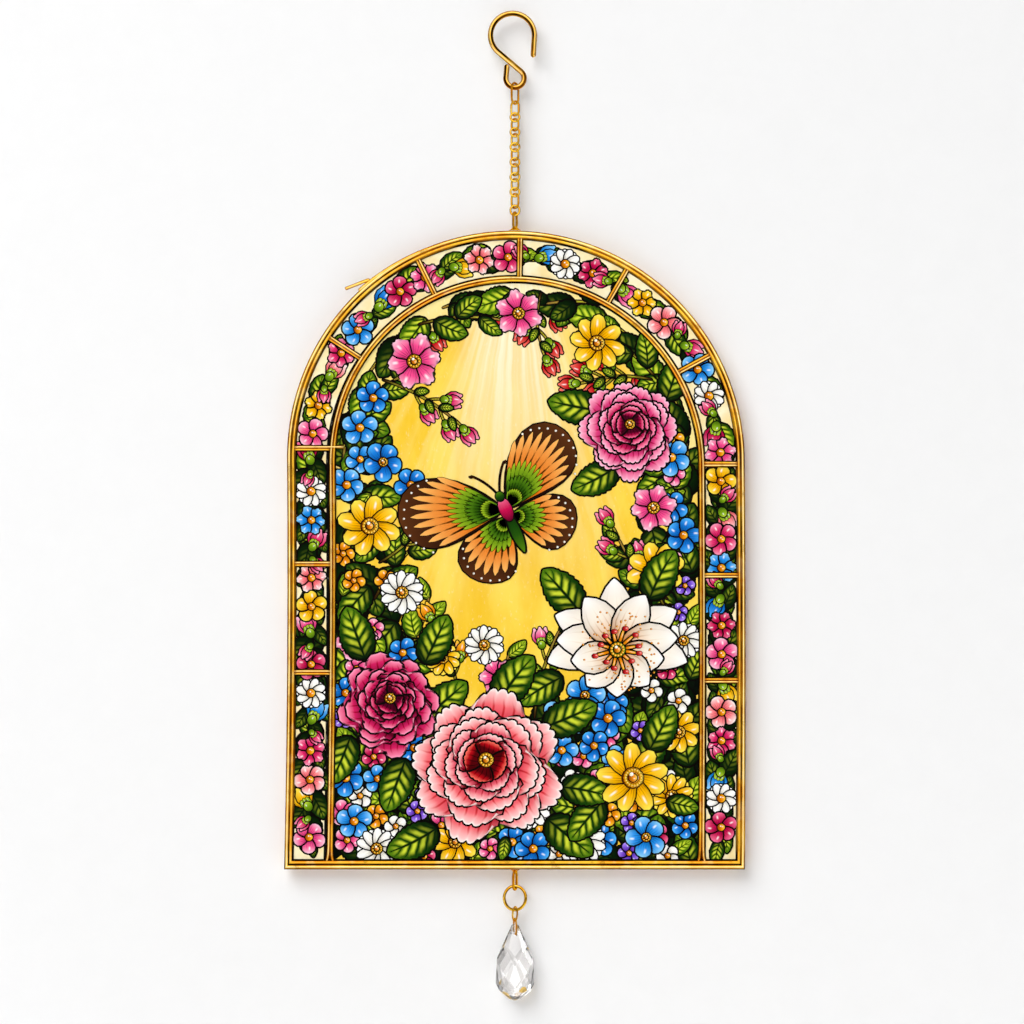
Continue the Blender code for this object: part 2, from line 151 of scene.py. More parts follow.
def make_piece(
    name: str, shape: Shape, material: bpy.types.Material, nodes: tuple[str, ...] = ()
) -> None:
    """Turns a shape into a finished piece that rides on the part.

    Args:
        name: the piece's name.
        shape: its surface, in metres.
        material: what it is finished with.
        nodes: the solids it replaces.
    """
    data = bpy.data.meshes.new(name)
    corners = np.concatenate([block.ravel() for block in shape.faces]).astype(np.int32)
    sizes = np.concatenate([np.full(len(block), block.shape[1]) for block in shape.faces])
    starts = (np.cumsum(sizes) - sizes).astype(np.int32)
    data.vertices.add(len(shape.points))
    data.vertices.foreach_set("co", shape.points.astype(np.float32).ravel())
    data.loops.add(len(corners))
    data.loops.foreach_set("vertex_index", corners)
    data.polygons.add(len(starts))
    data.polygons.foreach_set("loop_start", starts)
    data.polygons.foreach_set("use_smooth", np.full(len(starts), True))
    for label, array in shape.values.items():
        if array.ndim == 1:
            data.attributes.new(label, "FLOAT", "POINT").data.foreach_set("value", array.astype(np.float32))
        elif array.shape[1] == 2:
            data.uv_layers.new(name=label).uv.foreach_set("vector", array[corners].astype(np.float32).ravel())
        else:
            layer = data.color_attributes.new(label, "FLOAT_COLOR", "POINT")
            with_alpha = np.concatenate([array, np.ones((len(array), 1))], 1)
            layer.data.foreach_set("color", with_alpha.astype(np.float32).ravel())
    data.materials.append(material)
    data.update(calc_edges=True)
    data.validate()
    piece = linked(name, data)
    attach(piece, "root")
    if nodes:
        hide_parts(*nodes)
    LOG.info("%s: %d faces", name, len(data.polygons))


def gild(node: str, shape: Shape, gilt: bpy.types.Material) -> None:
    """Makes the gilt piece that replaces a solid."""
    make_piece(f"gilt_{node}", shape, gilt, (node,))


def box_of(node: str) -> tuple[np.ndarray, np.ndarray]:
    """The lowest and highest corner of a solid."""
    low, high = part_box(node)
    return np.array(low), np.array(high)


def settled(shape: Shape, node: str) -> Shape:
    """A shape round height 0, moved to the middle height of its solid."""
    low, high = box_of(node)
    return shape.moved((0, 0, (low[2] + high[2]) / 2))


def arc(centre: tuple[float, float], radius: float, first: float, last: float, steps: int) -> np.ndarray:
    """Points of a circle from the first angle to the last: centre + radius * (cos, sin)."""
    angle = np.linspace(first, last, steps + 1)
    return np.asarray(centre) + radius * np.stack([np.cos(angle), np.sin(angle)], -1)


def stadium(width: float, length: float, steps: int = 16) -> np.ndarray:
    """The closed centre line of a link: two half turns joined by straights, or an oval lying down."""
    corner = min(width, length) / 2
    across, along = width / 2 - corner, length / 2 - corner
    quarter = math.pi / 2
    places = ((across, along), (-across, along), (-across, -along), (across, -along))
    turns = [arc(p, corner, i * quarter, (i + 1) * quarter, steps // 2) for i, p in enumerate(places)]
    line = np.concatenate(turns)
    moved = np.linalg.norm(line - np.roll(line, 1, 0), axis=1) > 1e-7
    return line[moved]


@dataclass
class Wire:
    """A round wire bent in one upright plane.

    The surface is centre(t) + radius * (cos a * side(t) + sin a * normal), where side is the
    in-plane way across the line. An open wire ends in half balls: the last rings shrink as
    sqrt(1 - k * k) while they move on by k radii. The point value Recess carries painted light: painted
    shade of edges on both flanks and a painted highlight of -crest on a bell over the middle. A wire with a
    painted dark reflection has painted shade on one flank, a painted highlight moved away from the
    reflection, and the reflection's own value on a bell beside it; places across are given as cos a.
    """

    line: np.ndarray
    diameter: float
    closed: bool
    turn: float = 0.0
    sides: int = 20
    caps: int = 5
    # Painted light: edges is the painted shade on the flanks, crest the painted highlight, and the next field
    # the darkness of a painted dark reflection line.
    edges: float = 0.6
    dark_reflection: float = 0.0
    crest: float = 0.8
    flank_starts: float = 0.6
    flank_blend: float = 0.35
    crest_shift: float = -0.35
    crest_width: float = 0.42
    dark_reflection_place: float = 0.42
    dark_reflection_width: float = 0.38
    dark_reflection_gain: float = 1.6

    def with_caps(self) -> tuple[np.ndarray, np.ndarray]:
        """The line and the radii along it, with the shrinking rings of both ends added."""
        radius = np.full(len(self.line), self.diameter / 2)
        if self.closed:
            return self.line, radius
        share = np.sin(np.linspace(0, math.pi / 2, self.caps + 1)[1:-1])
        first, last = self.line[0] - self.line[1], self.line[-1] - self.line[-2]
        first, last = first / np.linalg.norm(first), last / np.linalg.norm(last)
        reach = (share * self.diameter / 2)[:, None]
        shrink = np.sqrt(1 - share**2) * self.diameter / 2
        line = np.concatenate([(self.line[0] + reach * first)[::-1], self.line, self.line[-1] + reach * last])
        return line, np.concatenate([shrink[::-1], radius, shrink])

    def surface(self) -> Shape:
        """The wire's points and faces, closed at the ends with one flat cap each."""
        line, radius = self.with_caps()
        if self.closed:
            way = np.roll(line, -1, 0) - np.roll(line, 1, 0)
        else:
            way = np.gradient(line, axis=0)
        way /= np.linalg.norm(way, axis=1, keepdims=True)
        angle = np.linspace(0, math.tau, self.sides, endpoint=False)
        across = radius[:, None] * np.cos(angle)
        out = radius[:, None] * np.sin(angle)
        x = line[:, :1] - way[:, 1:] * across
        z = line[:, 1:] + way[:, :1] * across
        points = np.stack([x, out, z], -1).reshape(-1, 3)
        cos, sin = math.cos(self.turn), math.sin(self.turn)
        points = points @ np.array([[cos, sin, 0], [-sin, cos, 0], [0, 0, 1]])
        faces = [grid_quads(len(line), self.sides, self.closed, True)[:, ::-1]]
        if not self.closed:
            ring = np.arange(self.sides)
            faces.append(np.stack([ring, ring[::-1] + (len(line) - 1) * self.sides]))
        return Shape(points, faces, {"Recess": np.tile(self.recess(np.cos(angle)), len(line))})

    def recess(self, beside: np.ndarray) -> np.ndarray:
        """The value Recess round the wire, painted shade and painted highlight, at places across from -1 to
        1.
        """
        flank = -beside if self.dark_reflection else abs(beside)
        recess = self.edges * np.clip((flank - self.flank_starts) / self.flank_blend, 0, 1)
        middle = self.crest_shift if self.dark_reflection else 0.0
        recess = recess - self.crest * np.exp(-(((beside - middle) / self.crest_width) ** 2))
        if not self.dark_reflection:
            return recess
        share = np.clip(self.dark_reflection_gain * np.exp(-(((beside - self.dark_reflection_place) / self.dark_reflection_width) ** 2)), 0, 1)
        return recess + (self.dark_reflection - recess) * share


@dataclass(frozen=True)
class Panel:
    """The panel's plan: the arch that the frame follows, and how a hand has bent it.

    With d, the share of the height below the top, x becomes x * (1 + splay * d^3) plus a lean whose
    factors are those of 1, d and d^2.
    """

    top: float = -0.09405
    height: float = 0.2791
    radius: float = 0.1
    half_width: float = 0.09997
    frame_width: float = 0.0035
    frame_depth: float = 0.0056
    came_half: float = 0.0824
    came_drop: float = 0.0023
    glass: float = 0.0030
    splay: float = 0.007
    lean: tuple[float, float, float] = (-0.0011, 0.00594, -0.00504)
    arch_steps: int = 168
    side_steps: int = 12

    @property
    def bottom(self) -> float:
        """Height of the frame's lower edge."""
        return self.top - self.height

    @property
    def centre(self) -> float:
        """Height of the frame arch's centre."""
        return self.top - self.radius

    @property
    def came_centre(self) -> float:
        """Height of the inner arch's centre."""
        return self.centre - self.came_drop

    def bent(self, points: np.ndarray) -> np.ndarray:
        """Points of the straight plan, moved to where the bent panel has them."""
        down = (self.top - points[:, 2]) / self.height
        lean = self.lean[0] + self.lean[1] * down + self.lean[2] * down**2
        moved = points.copy()
        moved[:, 0] = points[:, 0] * (1 + self.splay * down**3) + lean
        return moved

    def arch(self, centre: float, radius: float, bottom: float) -> tuple[np.ndarray, np.ndarray]:
        """Places up the left side, over the arch and down the right, and the inward way at each."""
        rise = np.linspace(bottom, centre, self.side_steps, endpoint=False)
        angle = np.linspace(math.pi, 0, self.arch_steps + 1)
        out = np.stack([np.cos(angle), np.sin(angle)], -1)
        left = np.stack([np.full_like(rise, -radius), rise], -1)
        over = np.array([0, centre]) + radius * out
        inward = np.tile([1.0, 0.0], (len(rise), 1))
        return np.concatenate([left, over, left[::-1] * [-1, 1]]), np.concatenate([inward, -out, -inward])


# ---- Finishes ----


def linear(shade: str) -> np.ndarray:
    """A colour written as six hexadecimal digits, as linear red, green and blue."""
    srgb = np.array([int(shade[i : i + 2], 16) / 255 for i in (0, 2, 4)])
    return np.where(srgb <= 0.04045, srgb / 12.92, ((srgb + 0.055) / 1.055) ** 2.4)


class Value:
    """A shader socket that takes part in arithmetic: every operator adds one Math node."""

    def __init__(self, surface: Tree, socket: bpy.types.NodeSocket) -> None:
        """Wraps a socket of the tree."""
        self.surface = surface
        self.socket = socket

    def maths(self, operation: str, *others: Value | float) -> Value:
        """A Math node of this operation on this value and the others."""
        inputs = dict(enumerate((self, *others)))
        node = self.surface.node("ShaderNodeMath", {"operation": operation}, inputs)
        return Value(self.surface, node.outputs[0])

    def __add__(self, other: Value | float) -> Value:
        """Sum."""
        return self.maths("ADD", other)

    __radd__ = __add__

    def __sub__(self, other: Value | float) -> Value:
        """Difference."""
        return self.maths("SUBTRACT", other)

    def __rsub__(self, other: float) -> Value:
        """Difference from a number."""
        return (self * -1.0) + other

    def __mul__(self, other: Value | float) -> Value:
        """Product."""
        return self.maths("MULTIPLY", other)

    __rmul__ = __mul__

    def __rtruediv__(self, other: float) -> Value:
        """Quotient of a number by this."""
        node = self.surface.node("ShaderNodeMath", {"operation": "DIVIDE"}, {0: other, 1: self})
        return Value(self.surface, node.outputs[0])

    def __truediv__(self, other: Value | float) -> Value:
        """Quotient."""
        return self.maths("DIVIDE", other)

    def __abs__(self) -> Value:
        """Size without sign."""
        return self.maths("ABSOLUTE")

    def near(self, low: float, high: float) -> Value:
        """1 where the size is below low, 0 where it is above high, and an S-curve between them."""
        return 1.0 - abs(self).smooth(low, high)

    def smooth(self, low: float | Value, high: float | Value) -> Value:
        """0 below low, 1 above high and an S-curve between them."""
        node = self.surface.node(
            "ShaderNodeMapRange",
            {"interpolation_type": "SMOOTHSTEP"},
            {"Value": self, "From Min": low, "From Max": high},
        )
        return Value(self.surface, node.outputs["Result"])


class Tree:
    """A node tree under construction."""

    def __init__(self, tree: bpy.types.NodeTree) -> None:
        """Wraps the tree."""
        self.tree = tree

    def node(self, kind: str, settings: dict | None = None, inputs: dict | None = None) -> bpy.types.Node:
        """Adds a node.

        Args:
            kind: the node's type.
            settings: properties, set first.
            inputs: values, or Values to link, by socket name or number.

        Returns:
            The node.
        """
        made = self.tree.nodes.new(kind)
        for key, setting in (settings or {}).items():
            setattr(made, key, setting)
        for key, given in (inputs or {}).items():
            self.feed(made.inputs[key], given)
        return made

    def feed(self, socket: bpy.types.NodeSocket, given: Value | float | tuple | str) -> None:
        """Links a Value to the socket, or sets the socket's own value; text is a hexadecimal colour."""
        if isinstance(given, Value):
            self.tree.links.new(given.socket, socket)
            return
        given = linear(given) if isinstance(given, str) else given
        if isinstance(given, (tuple, np.ndarray)) and len(socket.default_value) == 4:
            given = (*given, 1.0)
        socket.default_value = given

    def places(self) -> Value:
        """Object coordinates, which are metres in the part's own frame."""
        return Value(self, self.node("ShaderNodeTexCoord").outputs["Object"])

    def stretched(self, where: Value, scale: tuple[float, float, float]) -> Value:
        """Coordinates scaled differently along each axis."""
        node = self.node("ShaderNodeVectorMath", {"operation": "MULTIPLY"}, {0: where, 1: scale})
        return Value(self, node.outputs[0])

    def split(self, where: Value) -> tuple[Value, Value, Value]:
        """The three parts of a vector."""
        node = self.node("ShaderNodeSeparateXYZ", None, {0: where})
        return tuple(Value(self, output) for output in node.outputs)

    def joined(self, x: Value | float, y: Value | float, z: Value | float) -> Value:
        """A vector of three parts."""
        return Value(self, self.node("ShaderNodeCombineXYZ", None, {0: x, 1: y, 2: z}).outputs[0])

    def noise(self, where: Value, scale: float, detail: float = 2.0, rough: float = 0.5) -> Value:
        """Soft noise between 0 and 1."""
        inputs = {"Vector": where, "Scale": scale, "Detail": detail, "Roughness": rough}
        return Value(self, self.node("ShaderNodeTexNoise", None, inputs).outputs[0])

    def point_value(self, name: str, output: str = "Color") -> Value:
        """A colour kept at the mesh's points, or a number if the output is "Fac"."""
        return Value(self, self.node("ShaderNodeAttribute", {"attribute_name": name}).outputs[output])

    def light_path(self, kind: str) -> Value:
        """1 for rays of one kind, such as Glossy, and 0 for the others."""
        return Value(self, self.node("ShaderNodeLightPath").outputs[f"Is {kind} Ray"])

    def mix(self, share: Value | float, a: Value | str, b: Value | str, blend: str = "MIX") -> Value:
        """Colour a turned into colour b by the share, or blended with it."""
        settings = {"data_type": "RGBA", "blend_type": blend}
        node = self.node("ShaderNodeMix", settings, {0: share, 6: a, 7: b})
        return Value(self, node.outputs[2])

    def facing(self, way: Value, towards: tuple[float, float, float]) -> Value:
        """How far a vector points one way: their dot product, with the fixed one at length 1."""
        fixed = tuple(np.asarray(towards) / np.linalg.norm(towards))
        node = self.node("ShaderNodeVectorMath", {"operation": "DOT_PRODUCT"}, {0: way, 1: fixed})
        return Value(self, node.outputs["Value"])


class Surface(Tree):
    """One material under construction."""

    def __init__(self, name: str) -> None:
        """Starts a material that holds one Principled BSDF."""
        self.material = bpy.data.materials.new(name)
        self.material.use_nodes = True
        super().__init__(self.material.node_tree)
        self.shader = self.tree.nodes["Principled BSDF"]

    def set(self, **inputs: Value | float | str) -> None:
        """Sets or links the main shader's sockets; an underscore stands for a space."""
        for key, given in inputs.items():
            self.feed(self.shader.inputs[key.replace("_", " ")], given)

    def bump(self, height: Value, strength: float, distance: float) -> None:
        """Roughens the main shader's normal by a height."""
        inputs = {"Height": height, "Strength": strength, "Distance": distance}
        node = self.node("ShaderNodeBump", None, inputs)
        self.tree.links.new(node.outputs[0], self.shader.inputs["Normal"])


@dataclass(frozen=True)
class Gilt:
    """Polished gold plate on wire, with painted light and shade: a pale painted highlight on the crests, and
    painted shade on the flanks that is nearly black in the grooves.

    The point value Recess is -1 for the full painted highlight on a crest and 1 or more for the deepest
    painted shade in a groove.
    """

    name: str = "gilt_plate"
    bright: str = "FCC43A"
    warm: str = "DA7C10"
    # crest is the colour of the painted highlight and the painted glints; deep is that of the painted shade.
    crest: str = "FFE29C"
    deep: str = "0E0502"
    grazing: str = "FFE4A8"
    least_rough: float = 0.09
    most_rough: float = 0.18
    clouds_per_metre: float = 75.0
    # The next noise makes the painted shade darker in patches; the glint noise gives short painted glints and
    # dark painted reflections.
    shade_patches_per_metre: float = 60.0
    glints_per_metre: float = 200.0
    glint_share: float = 0.35
    dents_per_metre: float = 70.0
    dent_depth: float = 0.00012

    def build(self) -> bpy.types.Material:
        """The material."""
        surface = Surface(self.name)
        where = surface.places()
        recess = surface.point_value("Recess", "Fac")
        cloud = surface.noise(where, self.clouds_per_metre, 3.0)
        # Patches where the painted shade is darker or lighter.
        shade_patches = surface.noise(where, self.shade_patches_per_metre, 2.0).smooth(0.36, 0.62) * 0.6 + 0.6
        glint = surface.noise(where, self.glints_per_metre, 1.0)
        # Painted shade: in the grooves and on the flanks, and in the dark dashes of the glint noise.
        sunk = (recess.maths("MAXIMUM", 0.0) * shade_patches).maths("MINIMUM", 1.0)
        sunk = sunk.maths("MAXIMUM", (1.0 - glint).smooth(0.58, 0.76) * self.glint_share)
        # Painted highlight on the crests.
        painted_highlight = (recess * -1.0).maths("MAXIMUM", 0.0)
        tone = self.warm
        # A random cloudy tone, then the painted highlight and painted glints, then the painted shade.
        for share, shade in (
            (cloud.smooth(0.34, 0.66) * 0.8, self.bright),
            (painted_highlight.smooth(0.0, 0.6) * 0.75, self.bright),
            (painted_highlight.smooth(0.5, 1.0) * (cloud.smooth(0.3, 0.6) * 0.6 + 0.4), self.crest),
            (glint.smooth(0.54, 0.74) * self.glint_share, self.crest),
            (sunk, self.deep),
        ):
            tone = surface.mix(share, tone, shade)
        rough = cloud * (self.most_rough - self.least_rough) + self.least_rough
        dents = surface.noise(where, self.dents_per_metre, 1.0)
        surface.set(
            Base_Color=tone,
            Metallic=1.0 - sunk,
            Roughness=rough + sunk * 0.5,
            Specular_IOR_Level=0.0,
            Specular_Tint=self.grazing,
        )
        surface.bump(dents, 0.25, self.dent_depth)
        return surface.material


PLATE = Gilt()
# The chain's finish, with finer and stronger painted glints and dark painted reflections.
FINE_PLATE = Gilt(
    name="fine_gilt",
    bright="FFC926",
    warm="D8860A",
    crest="FFDE70",
    deep="281002",
    grazing="FFC65A",
    glints_per_metre=520.0,
    glint_share=0.75,
)


class Pattern(Enum):
    """What the brush leaves inside a painted shape."""

    PETAL = "petal"
    LEAF = "leaf"
    WING = "wing"


@dataclass(frozen=True)
class PaintOnGlass:
    """Glossy paint: the shapes' own tones, with fine lines from the root, veins and light sheens."""

    name: str
    pattern: Pattern
    rough: float = 0.32
    root: str = "22050C"
    sheen: str = "FFFFFF"
    lobe: str = "DCE63A"
    rib: str = "040E03"

    def lines(self, along: Value, across: Value, seed: Value, count: float) -> Value:
        """Thin lines that run out from the root and fade: the fraction of across * count, wavering."""
        waver = (along * 5.0 + seed * 40.0).maths("SINE") * 0.14
        part = (across * (count / 2) + waver + seed * 7.0).maths("FRACT")
        thin = (part - 0.5).near(0.03, 0.17)
        length = (across * 11.0 + seed * 60.0).maths("SINE") * 0.2 + 0.62
        return thin * (1.0 - along.smooth(0.25, length + 0.15))

    def petal(self, surface: Surface, tone: Value, along: Value, across: Value, seed: Value) -> Value:
        """Dark lines from the root and, for seeds below 1, a light sheen beyond the middle."""
        plain = 1.0 - seed.smooth(0.99, 1.0)
        dark = surface.mix(plain * 0.55 + 0.15, surface.mix(1.0, tone, tone, "MULTIPLY"), self.root)
        tone = surface.mix(self.lines(along, across, seed, 6.0) * 0.85, tone, dark)
        lean = (seed * 50.0).maths("SINE") * 0.3
        sheen = (across - lean).near(0.03, 0.22) * (along - 0.7).near(0.03, 0.17)
        return surface.mix(sheen * plain * 0.7, tone, self.sheen)

    def leaf(self, surface: Surface, tone: Value, along: Value, across: Value) -> Value:
        """Dark rib and slanting veins with bright yellow-green lobes between them."""
        size = abs(across)
        part = (along * 5.5 - size * 1.3).maths("FRACT")
        lobe = part.smooth(0.06, 0.36) * (1.0 - part.smooth(0.5, 0.92))
        lobe = lobe * size.smooth(0.04, 0.14) * size.near(0.4, 0.88) * along.near(0.66, 0.98)
        _, green, _ = surface.split(tone)
        tone = surface.mix(lobe * green.smooth(0.01, 0.07) * 0.85, tone, self.lobe)
        veins = (part - 0.98).near(0.02, 0.12) * size.near(0.75, 1.0)
        return surface.mix(veins.maths("MAXIMUM", size.near(0.03, 0.1)) * 0.9, tone, self.rib)

    def build(self) -> bpy.types.Material:
        """The material, which reads the point values Tone and Stroke."""
        surface = Surface(self.name)
        tone = surface.point_value("Tone")
        along, across, seed = surface.split(surface.point_value("Stroke"))
        if self.pattern is Pattern.LEAF:
            drawn = self.leaf(surface, tone, along, across)
        elif self.pattern is Pattern.PETAL:
            drawn = self.petal(surface, tone, along, across, seed)
        else:
            dark = surface.mix(1.0, tone, tone, "MULTIPLY")
            drawn = surface.mix(self.lines(along, across, seed, 9.0) * 0.6, tone, dark)
        tone = surface.mix(seed.smooth(-0.5, 0.0), tone, drawn)
        surface.set(Base_Color=tone, Roughness=self.rough, Specular_IOR_Level=0.01)
        surface.set(Coat_Weight=0.02, Coat_Roughness=0.04)
        return surface.material


@dataclass(frozen=True)
class OpalGround:
    """The pane: streaky yellow glass that pales to a ray-lit middle, and cream glass in the border."""

    panel: Panel
    name: str = "opal_glass"
    line: float = 0.0006
    soft: float = 0.0001
    lead_middle: float = -0.0013
    lead_half: float = 0.0012
    apex: tuple[float, float] = (0.001, -0.085)
    spread: float = 0.2
    throat: float = 0.014
    gold: tuple[str, str] = ("F2C022", "FDDA54")
    cream: tuple[str, str] = ("F6DFA0", "FFF4CF")
    ray: str = "FFF0A4"
    glow: str = "FFF5D2"
    rim: str = "FAECA8"
    lead: str = "060301"
    scratch: str = "FFFBEA"

    def arch(self, x: Value, z: Value, centre: float) -> Value:
        """How far a place lies from the middle line, or from the arch's centre above it."""
        rise = (z - centre).maths("MAXIMUM", 0.0)
        return (x * x + rise * rise).maths("SQRT")

    def unbent(self, x: Value, z: Value) -> Value:
        """Where x is in the straight plan."""
        plan = self.panel
        down = (plan.top - z) / plan.height
        lean = down * plan.lean[1] + down * down * plan.lean[2] + plan.lean[0]
        return (x - lean) / (down * down * down * plan.splay + 1.0)

    def middle(self, surface: Surface, x: Value, z: Value, out: Value, cloud: Value) -> Value:
        """The yellow glass: clouded gold, beams that fan out from the apex, a pale heart and a pale rim.

        Args:
            surface: the material.
            x: place across.
            z: height.
            out: how far the place lies outside the inner arch.
            cloud: soft streaks.

        Returns:
            The colour.
        """
        aside, down = x - self.apex[0], self.apex[1] - z
        angle = aside.maths("ARCTAN2", down)
        away = (aside * aside + down * down).maths("SQRT")
        wander = surface.noise(surface.places(), 55.0, 3.0)
        beam = surface.noise(surface.joined(angle * 26.0 + wander * 0.8, away * 5.0, 0.0), 1.0, 2.0)
        beam = beam.smooth(0.4, 0.66)
        heart = (aside / (down * self.spread + self.throat)).near(0.25, 1.25)
        gold = surface.mix(cloud.smooth(0.3, 0.72), *self.gold)
        gold = surface.mix(beam * 0.22 * (1.0 - heart), gold, self.ray)
        rim = out.smooth(-0.022, -0.004) * (z - self.panel.bottom).smooth(0.15, 0.2)
        gold = surface.mix(rim * 0.75, gold, self.rim)
        glow = heart * (beam * 0.45 + 0.6) * (1.0 - down.smooth(0.03, 0.185))
        return surface.mix(glow, gold, self.glow)

    def leaded(self, x: Value, z: Value, out: Value) -> Value:
        """1 under and beside the inner arch and the frame, where the glass is dark."""
        plan = self.panel
        reach = plan.frame_width + self.line
        half = self.lead_half + self.line
        lead = (out - self.lead_middle).near(half, half + 2 * self.soft)
        edge = (self.arch(x, z, plan.centre) - plan.half_width + reach).smooth(-self.soft, self.soft)
        low = 1.0 - (z - plan.bottom - reach).smooth(-self.soft, self.soft)
        return lead.maths("MAXIMUM", edge).maths("MAXIMUM", low)

    def build(self) -> bpy.types.Material:
        """The material, from places on the pane."""
        surface = Surface(self.name)
        where = surface.places()
        x, _, z = surface.split(where)
        x = self.unbent(x, z)
        out = self.arch(x, z, self.panel.came_centre) - self.panel.came_half
        cloud = surface.noise(surface.stretched(where, (1.0, 1.0, 0.35)), 48.0, 4.0, 0.6)
        cream = surface.mix(surface.noise(where, 120.0, 3.0).smooth(0.3, 0.7), *self.cream)
        border = out.smooth(-2 * self.soft, 2 * self.soft)
        tone = surface.mix(border, self.middle(surface, x, z, out, cloud), cream)
        tone = surface.mix(self.leaded(x, z, out), tone, self.lead)
        scratch = surface.noise(surface.stretched(where, (1.0, 1.0, 0.5)), 900.0, 2.0)
        tone = surface.mix(scratch.smooth(0.6, 0.8) * 0.18, tone, self.scratch)
        surface.set(Base_Color=tone, Roughness=0.3 + cloud * 0.1, Specular_IOR_Level=0.02)
        surface.set(Coat_Weight=0.03, Coat_Roughness=0.06)
        surface.bump(surface.noise(where, 260.0, 2.0), 0.25, 0.0002)
        return surface.material


@dataclass(frozen=True)
class ClearCrystal:
    """Clear ground lead glass with painted light and shade: each facet gets its own tint between grey and
    clear, as a painted reflection.

    The tint's share is a sine of facet_turn * |n . facet_way| for the facet's normal n, times one for each
    lozenge of a painted finer cut on it, a sine of cut_turns times the lozenge's row, its column and its
    face.
    The lowest facets with the greatest share get a painted golden glint.
    """

    name: str = "clear_crystal"
    index: float = 1.58
    clear: str = "FFFFFF"
    grey: str = "BFBDBC"
    # spark is the colour of the painted golden glint on the lowest facets.
    spark: str = "C98A1A"
    low: float = -0.4240
    star: float = -0.4128
    lozenge: tuple[float, float] = (0.0088, 0.0128)
    facet_way: tuple[float, float, float] = (0.37, 0.71, 0.6)
    facet_turn: float = 46.0
    cut_turns: tuple[float, float, float] = (2.3, 4.1, 1.9)

    def build(self) -> bpy.types.Material:
        """The material, see-through by plain values."""
        surface = Surface(self.name)
        normal = Value(surface, surface.node("ShaderNodeNewGeometry").outputs["True Normal"])
        x, y, z = surface.split(surface.places())
        share = (abs(surface.facing(normal, self.facet_way)) * self.facet_turn).maths("SINE") * 0.5 + 0.5
        tone = surface.mix(share.smooth(0.1, 0.9), self.grey, self.clear)
        across, rise = x / self.lozenge[0], (z - self.star) / self.lozenge[1]
        row, column = (rise + across).maths("FLOOR"), (rise - across).maths("FLOOR")
        parts = zip((row, column, y.smooth(-0.0001, 0.0001)), self.cut_turns)
        row_turn, column_turn, face_turn = (part * turn for part, turn in parts)
        cut = (row_turn + column_turn + face_turn).maths("SINE") * 0.5 + 0.5
        tone = surface.mix(1.0, tone, surface.mix(cut, self.grey, self.clear), "MULTIPLY")
        sparks = (1.0 - z.smooth(self.low, self.low + 0.0002)) * share.smooth(0.86, 0.9)
        tone = surface.mix(sparks, tone, self.spark)
        surface.set(Base_Color=tone, Roughness=0.0, Transmission_Weight=1.0, IOR=self.index)
        return surface.material


# ---- Gilt pieces ----


def gild_link(
    node: str, width: float, wire: float, degrees: float, gilt: bpy.types.Material, **looks: float
) -> None:
    """Makes a closed link in the place and of the height of its solid.

    Args:
        node: the solid.
        width: the link's, over all.
        wire: the wire's diameter.
        degrees: how far the link is turned about the upright.
        gilt: its finish.
        looks: edges and crest of the wire, its painted shade and painted highlight.
    """
    low, high = box_of(node)
    line = stadium(width - wire, float(high[2] - low[2]) - wire)
    gild(node, settled(Wire(line, wire, True, math.radians(degrees), **looks).surface(), node), gilt)


@dataclass
class Hanger:
    """The S-hook and the chain."""

    gilt: bpy.types.Material
    fine: bpy.types.Material
    hook_wire: float = 0.00235
    crown: float = 0.0012
    bow_radius: float = 0.0096
    bow_shift: float = -0.0011
    bow_first: float = math.radians(-3.4)
    bow_leg: float = 0.0080
    loop_radius: float = 0.0040
    loop_drop: float = 0.0272
    tail_length: float = 0.0050
    tail_lean: float = math.radians(-5.0)
    chain_wire: float = 0.00095
    top_width: float = 0.0060
    link_width: float = 0.0051
    ring_width: float = 0.0048
    links: int = 7

    def hook_line(self) -> np.ndarray:
        """The hook's centre line: leg, bow, straight, small loop and tail."""
        bow = np.array([self.bow_shift, self.crown - self.bow_radius])
        loop = np.array([0.0, -self.loop_drop])
        between = loop - bow
        slope = math.atan2(between[1], between[0])
        span = float(np.linalg.norm(between))
        bow_last = slope - math.acos((self.bow_radius + self.loop_radius) / span) + math.tau
        bow_line = arc(tuple(bow), self.bow_radius, self.bow_first, bow_last, 72)
        loop_line = arc(tuple(loop), self.loop_radius, bow_last - math.pi, -math.pi, 44)
        down = np.array([math.sin(self.bow_first), -math.cos(self.bow_first)])
        up = np.array([-math.sin(self.tail_lean), math.cos(self.tail_lean)])
        leg_line = np.linspace(bow_line[0] + self.bow_leg * down, bow_line[0], 8, endpoint=False)
        tail_line = np.linspace(loop_line[-1], loop_line[-1] + self.tail_length * up, 7)[1:]
        return np.concatenate([leg_line, bow_line, loop_line, tail_line])

    def link(self, node: str, width: float, degrees: float) -> None:
        """One link of the chain."""
        # Painted shade on the flanks and a painted highlight along the wire.
        gild_link(node, width, self.chain_wire, degrees, self.fine, edges=0.65, crest=0.95)

    def build(self) -> None:
        """Makes every wire from the hook down to the panel."""
        # Painted shade on one flank, a painted dark reflection near the other and a painted highlight between
        # them.
        hook = Wire(self.hook_line(), self.hook_wire, False, sides=40, edges=0.75, dark_reflection=0.95, crest=1.0)
        gild("s_hook", hook.surface(), self.gilt)
        self.link("top_link", self.top_width, 55)
        for number in range(1, self.links + 1):
            self.link(f"chain_link_{number}", self.link_width, -38 if number == 1 else -45)
            self.link(f"chain_ring_{number}", self.ring_width, 0)


